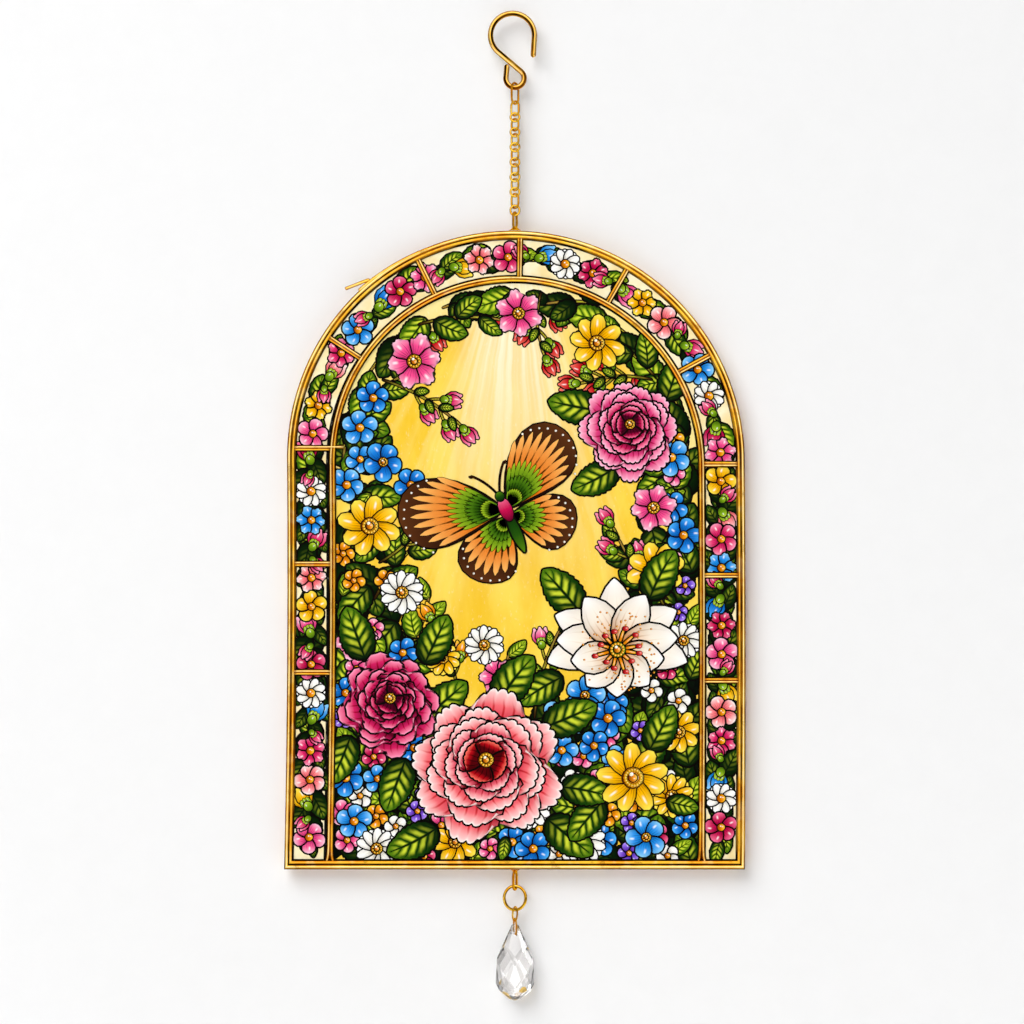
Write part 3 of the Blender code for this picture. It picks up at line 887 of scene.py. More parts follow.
def carried(
    places: np.ndarray, ways: np.ndarray, section: np.ndarray, closed: bool, recess: np.ndarray, panel: Panel
) -> Shape:
    """A section carried along a path: place + inward * way, at the section's depth.

    Args:
        places: path points (x, z).
        ways: the inward way at each, not always of length 1, so that corners are mitred.
        section: points (inward, depth) round the section.
        closed: whether the path closes; an open one is capped.
        recess: the value Recess of each section point.
        panel: bends the result.

    Returns:
        The shape, with its point value Recess.
    """
    flat = places[:, None, :] + section[None, :, :1] * ways[:, None, :]
    depth = np.broadcast_to(section[None, :, 1], flat.shape[:2])
    points = np.stack([flat[..., 0], depth, flat[..., 1]], -1).reshape(-1, 3)
    faces = [grid_quads(len(places), len(section), closed, True)]
    if not closed:
        ring = np.arange(len(section))
        faces.append(np.stack([ring[::-1], ring + (len(places) - 1) * len(section)]))
    return Shape(panel.bent(points), faces, {"Recess": np.tile(recess, len(places))})


@dataclass
class Metalwork:
    """The frame, the inner arch of twin rods and the short bars.

    frame_dark and frame_shine scale the value Recess, the painted shade and the painted highlight, on the
    arch and sides and at the bottom.
    """

    gilt: bpy.types.Material
    panel: Panel
    outer_rod: float = 0.0019
    inner_rod: float = 0.0017
    channel: float = 0.0015
    rod_height: float = 0.00098
    came_rod: float = 0.0013
    bar_rod: float = 0.00115
    play: float = 0.0003
    # How far the thin dark skirt beside a rod reaches onto the glass.
    dark_skirt: float = 0.00032
    bevel: float = 0.0006
    # Depths from a rod's front: its painted highlight lies within the first, its painted shade past the
    # second.
    painted_highlight_depth: float = 0.00008
    groove_depth: float = 0.00014
    low_width: float = 1.17
    # Scales of the painted shade and the painted highlight on the arch and sides, and at the bottom.
    frame_dark: tuple[float, float] = (0.85, 1.8)
    frame_shine: tuple[float, float] = (1.2, 1.6)
    lap_wire: float = 0.0015
    lap_sunk: float = 0.0007
    lap_rise: float = 0.0008
    lap_degrees: tuple[float, float] = (132.2, 112.0)
    tail_ends: tuple[tuple[float, float], ...] = ((-0.0730, -0.1193), (-0.0634, -0.1156))
    came_set: float = 0.0009
    foot_spread: float = 0.0007
    foot_height: float = 0.0022
    proud: float = 1.15
    overrun: float = 0.0061
    arch_bars: tuple[float, ...] = (146.7, 115.5, 88.1, 59.1, 28.1)
    left_drops: tuple[float, ...] = (0.0951, 0.1456, 0.1930)
    right_drops: tuple[float, ...] = (0.1020, 0.1506, 0.1965)

    def frame_section(self) -> tuple[np.ndarray, np.ndarray]:
        """Two rods side by side, the glass channel and a bevelled back, with the value Recess: a painted
        highlight on the rods' fronts, weaker on the inner rod, and painted shade on the flanks, in the
        groove, on the thin dark skirt and in the channel.

        The last five points are the back and the outer side, which are plain.
        """
        plan = self.panel
        front = -plan.frame_depth / 2
        outer, inner = self.outer_rod / 2, self.inner_rod / 2
        angle = np.radians(np.linspace(0, 158, 14))
        first = np.stack([outer - outer * np.cos(angle), front + outer * (1 - np.sin(angle))], -1)
        angle = np.radians(np.linspace(25, 180, 13))
        middle = plan.frame_width - inner
        second = np.stack([middle - inner * np.cos(angle), front + inner * (1 - np.sin(angle))], -1)
        wide, lip, back = plan.frame_width, plan.glass / 2 + self.play, plan.frame_depth / 2
        floor = wide - self.channel
        rest = [
            (wide, -lip - 0.00006),
            (wide + self.dark_skirt, -lip - 0.00002),
            (wide + self.dark_skirt, -lip),
            (floor, -lip),
            (floor, lip),
            (wide, lip),
            (wide, back - self.bevel),
            (wide - self.bevel, back),
            (self.bevel, back),
            (0.0, back - self.bevel),
            (0.0, front + outer + 0.0004),
        ]
        section = np.concatenate([first, second, np.array(rest)])
        depth = section[:, 1] - front
        # Painted shade past the groove depth and a painted highlight near the front, weaker on the inner rod.
        shine = np.where(np.arange(len(section)) < len(first), 1.0, 0.35)
        recess = np.clip(depth / self.groove_depth - 1, 0, 1)
        recess -= shine * np.clip(1 - depth / self.painted_highlight_depth, 0, 1)
        recess[-5:] = 0.0
        return section, recess

    def frame(self) -> Shape:
        """The frame, mitred at its two lower corners, with its splice. Its bottom is wider, with darker
        painted shade and a brighter painted highlight.
        """
        plan = self.panel
        places, ways = plan.arch(plan.centre, plan.half_width, plan.bottom)
        ways[0], ways[-1] = (1, self.low_width), (-1, self.low_width)
        along = np.linspace(plan.half_width, -plan.half_width, 26)[1:-1]
        low = np.stack([along, np.full_like(along, plan.bottom)], -1)
        places = np.concatenate([places, low])
        ways = np.concatenate([ways, np.tile([0.0, self.low_width], (len(low), 1))])
        section, recess = self.frame_section()
        ring = carried(places, ways, section, True, recess, plan)
        low = np.repeat(places[:, 1] <= plan.bottom, len(section))
        dark, shine = (np.where(low, *pair[::-1]) for pair in (self.frame_dark, self.frame_shine))
        # Deeper painted shade and a brighter painted highlight at the bottom.
        ring.values["Recess"] *= np.where(ring.values["Recess"] > 0, dark, shine)
        return joined_shapes([ring, *self.splice()])

    def splice(self) -> list[Shape]:
        """The frame's splice: a loose tail, and a lap that sinks onto the outer rod."""
        plan = self.panel
        angle = np.radians(np.linspace(*self.lap_degrees, 28))
        radius = plan.half_width - self.lap_wire / 2 + self.lap_rise * np.linspace(1, 0, 28)
        lap = np.stack([radius * np.cos(angle), plan.centre + radius * np.sin(angle)], -1)
        rods = []
        for line in (np.linspace(*self.tail_ends, 8), lap):
            rod = Wire(line, self.lap_wire, False, sides=16).surface()
            rod = rod.moved((0, self.lap_sunk - plan.frame_depth / 2, 0))
            rod.points = plan.bent(rod.points)
            rods.append(rod)
        return rods

    def low_section(self, width: float, height: float, twin: int) -> tuple[np.ndarray, np.ndarray]:
        """A rod lying on the glass, with its twin on the left (-1) or the right.

        It is half an oval between two thin dark skirts, with painted shade on its flanks, less on its twin's
        side, and a painted highlight along its top, weaker when its twin lies on the left.
        """
        base = -(self.panel.glass / 2 + self.play)
        angle = np.linspace(math.pi, 0, 13)
        rise = np.sin(angle) ** 0.8
        section = np.stack([width / 2 * np.cos(angle), base - height * rise], -1)
        shine = 1.0 if twin > 0 else 0.25
        # Painted shade on the flanks and a painted highlight along the top.
        recess = np.clip((0.9 - rise) / 0.2, 0, 1) - shine * np.clip((rise - 0.93) / 0.06, 0, 1)
        reach = width / 2 + self.dark_skirt
        recess *= np.where((section[:, 0] * twin > 0) & (recess > 0), 0.35, 1.15)
        skirt = np.array([(-reach, base), (-reach, base - 0.00004)])
        section = np.concatenate([skirt, section, skirt[::-1] * [-1, 1]])
        return section, np.concatenate([[2.0, 2.0], recess, [2.0, 2.0]])

    def low_rod(self, line: np.ndarray, width: float, twin: int, height: float | None = None) -> Shape:
        """One low rod along a line, with its twin on the left (-1) or the right."""
        way = np.gradient(line, axis=0)
        way /= np.linalg.norm(way, axis=1, keepdims=True)
        section, recess = self.low_section(width, height or self.rod_height, twin)
        return carried(line, np.stack([way[:, 1], -way[:, 0]], -1), section, False, recess, self.panel)

    def came(self) -> Shape:
        """The inner arch: two rods side by side, which part like feet at the bottom."""
        plan = self.panel
        bottom = plan.bottom + plan.frame_width + self.play
        places, ways = plan.arch(plan.came_centre, plan.came_half, bottom)
        extra = np.linspace(0, 1, 15)[1:-1]
        gap = places[1, 1] - places[0, 1]
        foot = np.stack([np.full_like(extra, places[0, 0]), bottom + gap * extra], -1)
        places = np.concatenate([places[:1], foot, places[1:-1], foot[::-1] * [-1, 1], places[-1:]])
        first, last = (np.tile(way, (len(extra) + 1, 1)) for way in (ways[0], ways[-1]))
        ways = np.concatenate([first, ways[1:-1], last])
        up = places[:, 1] - bottom
        places[:, 0] += self.came_set * np.clip(-places[:, 0] / plan.came_half, 0, 1) ** 6
        rods = []
        for side in (-1, 1):
            spread = self.foot_spread * np.exp(-up / self.foot_height)
            inward = self.came_rod + side * (self.came_rod / 2 + spread)
            rods.append(self.low_rod(places + inward[:, None] * ways, self.came_rod, -side))
        return joined_shapes(rods)

    def bar(self, node: str, start: np.ndarray, end: np.ndarray, overrun: float = 0.0) -> None:
        """A short bar of two straight rods; the upper one may run on past its end."""
        way = (end - start) / np.linalg.norm(end - start)
        across = np.array([-way[1], way[0]])
        rods = []
        for side in (-1, 1):
            shift = side * self.bar_rod / 2 * across
            upper = overrun > 0 and side * across[1] > 0
            reach = end + (overrun * way if upper else 0)
            height = self.rod_height * (self.proud if upper else 1.0)
            line = np.linspace(start + shift, reach + shift, 12)
            rods.append(self.low_rod(line, self.bar_rod, side, height))
        gild(node, joined_shapes(rods), self.gilt)

    def bars(self) -> None:
        """The bars that part the border into cells."""
        plan = self.panel
        inner = plan.radius - plan.frame_width + self.play
        clear = plan.came_half - self.play
        centre = np.array([0, plan.centre])
        for number, degrees in enumerate(self.arch_bars, 1):
            angle = math.radians(degrees)
            out = np.array([math.cos(angle), math.sin(angle)])
            sink = plan.came_drop * math.sin(angle)
            reach = -sink + math.sqrt(sink**2 + clear**2 - plan.came_drop**2)
            self.bar(f"arch_bar_{number}", centre + inner * out, centre + reach * out)
        for side, label, drops in ((-1, "left", self.left_drops), (1, "right", self.right_drops)):
            for number, drop in enumerate(drops, 1):
                height = plan.top - drop
                start = math.sqrt(inner**2 - max(height - plan.centre, 0.0) ** 2)
                end = clear - (self.came_set if side < 0 else 0)
                ends = np.array([side * start, height]), np.array([side * end, height])
                node = f"{label}_bar_{number}"
                self.bar(node, *ends, self.overrun if node == "left_bar_1" else 0.0)

    def build(self) -> None:
        """Makes all of the panel's metal."""
        gild("frame", self.frame(), self.gilt)
        gild("inner_came", self.came(), self.gilt)
        self.bars()


@dataclass
class Fittings:
    """The eyes, the rings and the bail."""

    gilt: bpy.types.Material
    play: float = 0.0003
    eye_turn: float = math.radians(68)
    eye_width: float = 0.0050
    jump_wire: float = 0.0013
    jump_size: tuple[float, float] = (0.0107, 0.0118)
    jump_cut: float = math.radians(186)
    jump_gap: float = math.radians(1.6)
    small_wire: float = 0.0008
    small_width: float = 0.0070
    bail_wire: float = 0.0008
    bail_width: float = 0.0062
    bail_corner: float = 0.0008

    def foot(self, radius: float, neck: float, height: float, face: float, side: int) -> Shape:
        """A round solder foot on a face; its radius is neck + (radius - neck) * (1 - s)^2 at share s."""
        share = np.linspace(0, 1, 9)
        outline = np.concatenate([[0.0], neck + (radius - neck) * (1 - share) ** 2, [0.0]])
        level = np.concatenate([[0.0], share * height, [height]])
        angle = np.linspace(0, math.tau, 32, endpoint=False)
        x = outline[:, None] * np.cos(angle)
        y = outline[:, None] * np.sin(angle)
        z = np.broadcast_to(level[:, None], x.shape) * side + face
        points = np.stack([x, y, z], -1).reshape(-1, 3)
        faces = grid_quads(len(outline), 32, False, True)
        return Shape(points, [faces[:, ::-1] if side > 0 else faces])

    def eye(self, node: str, wire: float, foot: tuple[float, float], side: int) -> None:
        """A wire loop turned nearly edge-on, on a foot of this width and height; side is 1 for upwards."""
        low, high = box_of(node)
        face, far = (low[2], high[2]) if side > 0 else (high[2], low[2])
        start = face + side * self.play
        line = stadium(self.eye_width - wire, abs(far - start) - wire)
        loop = Wire(line, wire, True, self.eye_turn).surface().moved((0, 0, (start + far) / 2))
        gild(node, joined_shapes([loop, self.foot(foot[0] / 2, wire, foot[1], face, side)]), self.gilt)

    def bail_line(self) -> np.ndarray:
        """The bail's centre line: a half turn on top and two small corners below."""
        low, high = box_of("crystal_bail")
        half, corner = (self.bail_width - self.bail_wire) / 2, self.bail_corner
        crown, lower = high[2] - self.bail_wire / 2 - half, low[2] + self.bail_wire / 2
        quarter = math.pi / 2
        turns = (
            arc((0.0, crown), half, 0, math.pi, 30),
            arc((corner - half, lower + corner), corner, math.pi, 3 * quarter, 6),
            arc((half - corner, lower + corner), corner, 3 * quarter, math.tau, 6),
        )
        return np.concatenate(turns)

    def build(self) -> None:
        """Makes the small parts above and below the panel."""
        self.eye("top_eye", 0.0011, (0.0054, 0.0016), 1)
        self.eye("bottom_eye", 0.00115, (0.0042, 0.0008), -1)
        angle = self.jump_cut + np.linspace(self.jump_gap, math.tau - self.jump_gap, 90)
        across, along = ((size - self.jump_wire) / 2 for size in self.jump_size)
        line = np.stack([across * np.cos(angle), along * np.sin(angle)], -1)
        # Painted shade on one flank, a painted dark reflection near the other and a painted highlight between
        # them.
        ring = Wire(line, self.jump_wire, False, sides=24, edges=0.7, dark_reflection=0.8).surface()
        gild("jump_ring", settled(ring, "jump_ring"), self.gilt)
        gild_link("small_ring", self.small_width, self.small_wire, 71, self.gilt)
        bail = Wire(self.bail_line(), self.bail_wire, True, math.radians(102), sides=16)
        gild("crystal_bail", bail.surface(), self.gilt)


# ---- The painted picture ----

# In millimetres above the frame's bottom edge: the centres of the inner arch and of the frame's, and
# the height below which nothing is painted.
CAME_CENTRE = 176.8
FRAME_CENTRE = 179.1
LOW_EDGE = 2.6


@dataclass(frozen=True)
class Brush:
    """The outline of one kind of painted shape.

    With u along and v across (-1 to 1), the half width of a pointed or round shape (tip = 0) is
    (4 u' (1 - u')) ** fullness of the given one, where u' = u ** widest, and never less than the
    blunt end. That of a petal with a broad tip grows as a quarter sine, to the power 2 fullness, to 1
    at u = widest and falls with a square to the tip's share at u = 1. The place along the middle line is
    u - u^4 * (corner * |v|^3 + notch * (1 - |v|)^1.5 - ruffle * |cos(waves * pi / 2 * v)|^0.6).
    A saw edge makes the half width greater by saw * (1 - the fraction of teeth * u). Deep is how far
    the root's tone reaches, line the width of the dark line in millimetres, and shade how much darker
    the sides are.
    """

    rows: int = 8
    columns: int = 5
    widest: float = 1.0
    fullness: float = 0.5
    tip: float = 0.0
    corner: float = 0.0
    notch: float = 0.0
    ruffle: float = 0.0
    waves: int = 2
    saw: float = 0.0
    teeth: float = 7.0
    deep: float = 0.0
    blunt: float = 0.07
    line: float = 0.4
    shade: float = 0.35

    def half_width(self, u: np.ndarray) -> np.ndarray:
        """Share of the given half width at each place along."""
        if self.tip:
            grown = np.sin(np.clip(u / self.widest, 0, 1) * math.pi / 2) ** (2 * self.fullness)
            fallen = 1 - (1 - self.tip) * np.clip((u - self.widest) / (1 - self.widest), 0, 1) ** 2
            return np.maximum(grown * fallen, self.blunt)
        bow = u**self.widest
        wide = (4 * bow * (1 - bow)) ** self.fullness
        return np.maximum(wide * (1 + self.saw * (1 - (self.teeth * u) % 1)), self.blunt)

    def along(self, u: np.ndarray, v: np.ndarray) -> np.ndarray:
        """Place along the middle line, as a share of the length."""
        wave = self.ruffle * abs(np.cos(self.waves * math.pi / 2 * v)) ** 0.6
        return u + u**4 * (wave - self.corner * abs(v) ** 3 - self.notch * (1 - abs(v)) ** 1.5)

    def grid(self) -> tuple[np.ndarray, np.ndarray]:
        """u and v of a shape's points; without a saw edge the rows lie closer at both ends."""
        u = np.linspace(0, 1, self.rows)
        if not self.saw:
            u = (1 - np.cos(u * math.pi)) / 2
        return tuple(np.meshgrid(u, np.linspace(-1, 1, self.columns), indexing="ij"))

    def past(self) -> np.ndarray:
        """How far each point lies past the deep part, 0 to 1."""
        return np.clip((self.grid()[0] - self.deep) / (1 - self.deep), 0, 1)

    def edge(self) -> np.ndarray:
        """The numbers of the points round the border of the grid, in order."""
        number = np.arange(self.rows * self.columns).reshape(self.rows, self.columns)
        return np.concatenate([number[:, 0], number[-1, 1:-1], number[::-1, -1], number[0, -2:0:-1]])


ROUND = Brush(rows=7, blunt=0.2, line=0.5, shade=0.3)
DOT = Brush(rows=4, columns=3, blunt=0.3, line=0.2, shade=0.1)
GLINT = Brush(rows=4, columns=3, blunt=0.3, line=0.05, shade=0.0)
PETAL = Brush(widest=1.7, blunt=0.12, line=0.72)
HEART = Brush(7, 7, widest=0.7, fullness=0.75, tip=0.62, corner=0.34, notch=0.12, blunt=0.18, line=0.72)
FRILL = Brush(8, 21, widest=0.74, tip=0.8, corner=0.3, ruffle=0.05, waves=5, deep=0.72, line=0.85, shade=0.45)
CUP = Brush(8, 7, widest=0.66, tip=0.6, corner=0.3, notch=0.04, deep=0.7, line=0.85, shade=0.45)
BUD = Brush(rows=7, widest=0.55, tip=0.2, corner=0.1, blunt=0.3, line=0.55, shade=0.4)
CALYX = Brush(rows=6, columns=3, widest=0.7, fullness=0.6, blunt=0.1, line=0.3, shade=0.3)
RAY = Brush(rows=7, widest=1.35, fullness=0.42, line=0.6)
PANE = Brush(rows=7, widest=1.5, line=0.22, shade=0.15)
SPEAR = Brush(rows=10, widest=1.05, fullness=0.8, blunt=0.03, line=0.85, shade=0.3)
LILY = Brush(rows=10, widest=1.05, fullness=0.8, deep=0.16, blunt=0.03, line=0.85, shade=0.3)
LEAF = Brush(rows=16, widest=0.85, fullness=0.72, saw=0.16, teeth=5, blunt=0.03, line=0.8, shade=0.6)
GRAND = Brush(rows=28, widest=0.8, fullness=0.66, saw=0.15, teeth=9, blunt=0.02, line=0.85, shade=0.65)
BLADE = Brush(rows=7, widest=0.85, fullness=0.75, blunt=0.04, line=0.7, shade=0.5)
MOSS = Brush(rows=5, columns=3, fullness=0.6, blunt=0.05, line=0.1, shade=0.1)
STEM = Brush(rows=12, columns=3, widest=0.7, fullness=0.16, blunt=0.3, line=0.42)
WING = Brush(rows=12, columns=9, widest=1.75, line=0.6, shade=0.1)


class Palette(Enum):
    """Paints as three tones: at the root, in the body and along the rim."""

    PINK = ("98003A", "F64C90", "FFD2E2")
    ROSE = ("700026", "E42468", "FFA4C2")
    MAGENTA = ("4C001E", "CC1050", "FA7CA4")
    CORAL = ("CC0430", "FF7C82", "FFFAF4")
    SALMON = ("AC0426", "FA7082", "FFECE4")
    BLUE = ("001C5E", "0A74D4", "55BCFF")
    SKY = ("003488", "1A90EA", "98DCFF")
    PURPLE = ("240C62", "7444D2", "C09CFC")
    YELLOW = ("B65400", "FAB800", "FFEC58")
    AMBER = ("8E3600", "F08C00", "FFD23C")
    WHITE = ("9C8A5C", "FAF7EE", "FFFFFF")
    PEARL = ("D88A0C", "FBEEDC", "FFFFFF")
    RED = ("560006", "D0101C", "FA7A66")
    DEEP_LEAF = ("010601", "0B2A06", "234E0A")
    LEAF = ("041405", "1B4C08", "5A8A10")
    LIME = ("143004", "4A7E0A", "A4C024")
    SPROUT = ("3A6408", "7CA616", "C0D83C")
    OLIVE = ("2A1404", "76501A", "B08A40")
    BUTTON = ("7A2E00", "EE8A10", "FFDA5A")
    SHINE = ("FFF2C0", "FFFBEA", "FFFFFF")
    EARTH = ("020402", "040A04", "081406")
    BROWN = ("0A0301", "260F06", "5E3214")
    PANE = ("5A7A10", "E2700C", "FFC268")


class Pile:
    """Finds how high a shape has to lie over those that are already under it, by circles."""

    def __init__(self) -> None:
        """Starts with bare glass."""
        self.circles = np.empty((0, 4))

    def rest(self, circles: np.ndarray, depth: int) -> float:
        """The lowest free level for something that covers these circles.

        Args:
            circles: rows of x, v and radius, in millimetres.
            depth: how many levels it takes itself.

        Returns:
            The level that its first layer gets.
        """
        known = self.circles
        apart = np.hypot(known[:, None, 0] - circles[None, :, 0], known[:, None, 1] - circles[None, :, 1])
        under = known[(apart < known[:, None, 2] + circles[None, :, 2]).any(1), 3]
        level = float(under.max()) + 1 if len(under) else 0.0
        top = np.full((len(circles), 1), level + depth - 1)
        self.circles = np.concatenate([known, np.concatenate([circles, top], 1)])
        return level


class Sheet(Enum):
    """The painted pieces, from the glass upwards."""

    BORDER_LEAVES = "painted_border_leaves"
    BORDER_BLOSSOMS = "painted_border_blossoms"
    LEAVES = "painted_leaves"
    BLOSSOMS = "painted_blossoms"
    BLOOMS = "painted_blooms"
    BUTTERFLY = "painted_butterfly"

    @property
    def in_border(self) -> bool:
        """Whether the piece lies outside the inner arch."""
        return self in (Sheet.BORDER_LEAVES, Sheet.BORDER_BLOSSOMS)


@dataclass
class Picture:
    """Collects painted shapes in millimetres and turns them into pieces on both faces of the pane."""

    panel: Panel
    pile: Pile = field(default_factory=Pile)
    marks: dict = field(default_factory=dict)
    first_gap: float = 0.00003
    thickness: float = 0.00026
    most_step: float = 0.00002
    line_drop: float = 0.2
    border: tuple[float, float] = (80.6, 96.9)
    middle: float = 81.6
    ink: str = "060302"

    def paint(
        self,
        sheet: Sheet,
        brush: Brush,
        place: tuple[Numbers, Numbers],
        angle: Numbers,
        length: Numbers,
        width: Numbers,
        palette: Palette,
        level: Numbers,
        bend: Numbers = 0.0,
        tilt: float = 0.0,
    ) -> None:
        """Adds shapes.

        Args:
            sheet: the piece they belong to.
            brush: their kind.
            place: x and v of their roots, in millimetres.
            angle: the way they start, in radians from +x.
            length: in millimetres.
            width: half the greatest width, in millimetres.
            palette: their three tones.
            level: the layer they lie in.
            bend: how far their middle line turns, in radians.
            tilt: how much higher their left side lies than their right one, in layers.
        """
        numbers = np.broadcast_arrays(*place, angle, length, width, level, bend, tilt)
        rows = np.stack([np.atleast_1d(column).astype(float) for column in numbers], -1)
        colours = np.tile(np.concatenate([linear(shade) for shade in palette.value]), (len(rows), 1))
        self.marks.setdefault(sheet, {}).setdefault(brush, []).append(np.concatenate([rows, colours], 1))

    def kept(self, flat: np.ndarray, in_border: bool) -> np.ndarray:
        """Points drawn back to their side of the inner arch, and above the frame's lower rod."""
        arches = ((CAME_CENTRE, self.border[0], math.inf), (FRAME_CENTRE, 0.0, self.border[1]))
        x, v = flat[..., 0], np.maximum(flat[..., 1], LOW_EDGE)
        for centre, low, high in arches if in_border else ((CAME_CENTRE, 0.0, self.middle),):
            rise = np.maximum(v - centre, 0)
            away = np.hypot(x, rise) + 1e-9
            share = np.clip(away, low, high) / away
            x, v = x * share, v + rise * (share - 1)
        return np.stack([x, v], -1)

    def traced(self, brush: Brush, marks: np.ndarray) -> tuple[np.ndarray, np.ndarray]:
        """Where the points of shapes lie: those of the grid, then the inner and outer ones of the line.

        A middle line is an arc, so that a point at u, with the width w to its side, lies at
        length * (sin(bend * u), 1 - cos(bend * u)) / bend + w * (-sin(bend * u), cos(bend * u)).

        Args:
            brush: their kind.
            marks: rows of x, v, angle, length, width, level, bend, tilt and nine colour parts.

        Returns:
            Their places in millimetres, and their layers.
        """
        u, v = brush.grid()
        x, up, angle, length, width, level, bend, tilt = (marks[:, i, None, None] for i in range(8))
        bend = np.where(abs(bend) < 1e-4, 1e-4, bend)
        heading = bend * brush.along(u, v)
        beside = v * brush.half_width(u) * width
        ahead = length * np.sin(heading) / bend - beside * np.sin(heading)
        aside = length * (1 - np.cos(heading)) / bend + beside * np.cos(heading)
        cos, sin = np.cos(angle), np.sin(angle)
        flat = np.stack([x + ahead * cos - aside * sin, up + ahead * sin + aside * cos], -1)
        flat = flat.reshape(len(marks), -1, 2)
        layer = (level + tilt * v).reshape(len(marks), -1)
        rim, edge = flat[:, brush.edge()], layer[:, brush.edge()]
        way = np.roll(rim, -1, 1) - np.roll(rim, 1, 1)
        way /= np.linalg.norm(way, axis=2, keepdims=True) + 1e-9
        outer = rim + brush.line * np.stack([way[..., 1], -way[..., 0]], -1)
        return np.concatenate([flat, rim, outer], 1), np.concatenate([layer, edge, edge - self.line_drop], 1)

    def toned(self, brush: Brush, marks: np.ndarray) -> np.ndarray:
        """The points' colours: from the root's tone through the body's to the rim's, and ink in the line."""
        root, body, rim = marks[:, None, 8:11], marks[:, None, 11:14], marks[:, None, 14:17]
        share = brush.past().reshape(1, -1, 1)
        across = abs(brush.grid()[1]).reshape(1, -1, 1)
        fill = root + (body - root) * np.clip(share / 0.5, 0, 1) ** 0.8
        fill = fill + (rim - fill) * np.clip((share - 0.5) / 0.5, 0, 1) ** 1.5 * 0.9
        fill = fill * (1 - brush.shade * across**2 * (1 - share * 0.6))
        ink = np.broadcast_to(linear(self.ink), (len(marks), 2 * len(brush.edge()), 3))
        return np.concatenate([fill, ink], 1)

    def stroked(self, brush: Brush, cells: np.ndarray) -> np.ndarray:
        """For each point its place along, its place across and the shape's seed; -1 in the line.

        Seeds are below 1, and higher by 1 for shapes with a deep root.
        """
        count = brush.rows * brush.columns
        stroke = np.full((len(cells), count + 2 * len(brush.edge()), 3), -1.0)
        stroke[:, :count, 0] = brush.past().ravel()
        stroke[:, :count, 1] = brush.grid()[1].ravel()
        stroke[:, :count, 2] = (cells[:, None] * 0.618) % 0.98 + (brush.deep > 0)
        return stroke

    def mapped(self, brush: Brush, cells: np.ndarray, side: int) -> np.ndarray:
        """The points' places in the piece's map, which has side * side cells, one for each shape."""
        u, v = brush.grid()
        local = np.stack([u, (v + 1) / 2], -1).reshape(-1, 2) * 0.7 + 0.15
        rim = local[brush.edge()]
        local = np.concatenate([local, rim, (rim - 0.5) * 1.24 + 0.5])
        return (local + np.stack([cells % side, cells // side], -1)[:, None, :]) / side

    def surface(
        self, brush: Brush, marks: np.ndarray, cells: np.ndarray, side: int, step: float, in_border: bool
    ) -> Shape:
        """The shapes of one brush: a grid each, and a dark line round it.

        Args:
            brush: their kind.
            marks: their rows of numbers.
            cells: the number of each shape's cell in the piece's map.
            side: how many cells the map has along one side.
            step: the height of a layer, in metres.
            in_border: whether they stay outside the inner arch.

        Returns:
            The shape, with its colours and its map.
        """
        flat, layer = self.traced(brush, marks)
        flat = self.kept(flat, in_border)
        depth = -(self.panel.glass / 2 + self.first_gap + layer * step)
        points = np.stack([flat[..., 0] * MM, depth, flat[..., 1] * MM + self.panel.bottom], -1)
        size, edges = points.shape[1], len(brush.edge())
        inner = np.arange(edges) + brush.rows * brush.columns
        line = np.stack([inner, inner + edges, np.roll(inner, -1) + edges, np.roll(inner, -1)], -1)
        quads = np.concatenate([grid_quads(brush.rows, brush.columns)[:, ::-1], line])
        faces = (np.arange(len(marks))[:, None, None] * size + quads).reshape(-1, 4)
        values = {
            "Tone": self.toned(brush, marks).reshape(-1, 3),
            "Stroke": self.stroked(brush, cells).reshape(-1, 3),
            "OFBake": self.mapped(brush, cells, side).reshape(-1, 2),
        }
        return Shape(self.panel.bent(points.reshape(-1, 3)), [faces], values)

    def build(self, finishes: dict[Sheet, bpy.types.Material]) -> None:
        """Makes every piece of the picture, for the front and mirrored for the back."""
        rows = [np.concatenate(blocks) for kinds in self.marks.values() for blocks in kinds.values()]
        highest = max(block[:, 5].max() for block in rows) + 1.5
        step = min(self.thickness / highest, self.most_step)
        LOG.info("picture: %d layers", int(highest))
        for sheet, kinds in self.marks.items():
            total = sum(len(block) for blocks in kinds.values() for block in blocks)
            side = math.ceil(math.sqrt(total))
            shapes, first = [], 0
            for brush, blocks in kinds.items():
                marks = np.concatenate(blocks)
                cells = np.arange(first, first + len(marks))
                shapes.append(self.surface(brush, marks, cells, side, step, sheet.in_border))
                first += len(marks)
            front = joined_shapes(shapes)
            make_piece(f"{sheet.value}_front", front, finishes[sheet])
            make_piece(f"{sheet.value}_back", front.mirrored(), finishes[sheet])


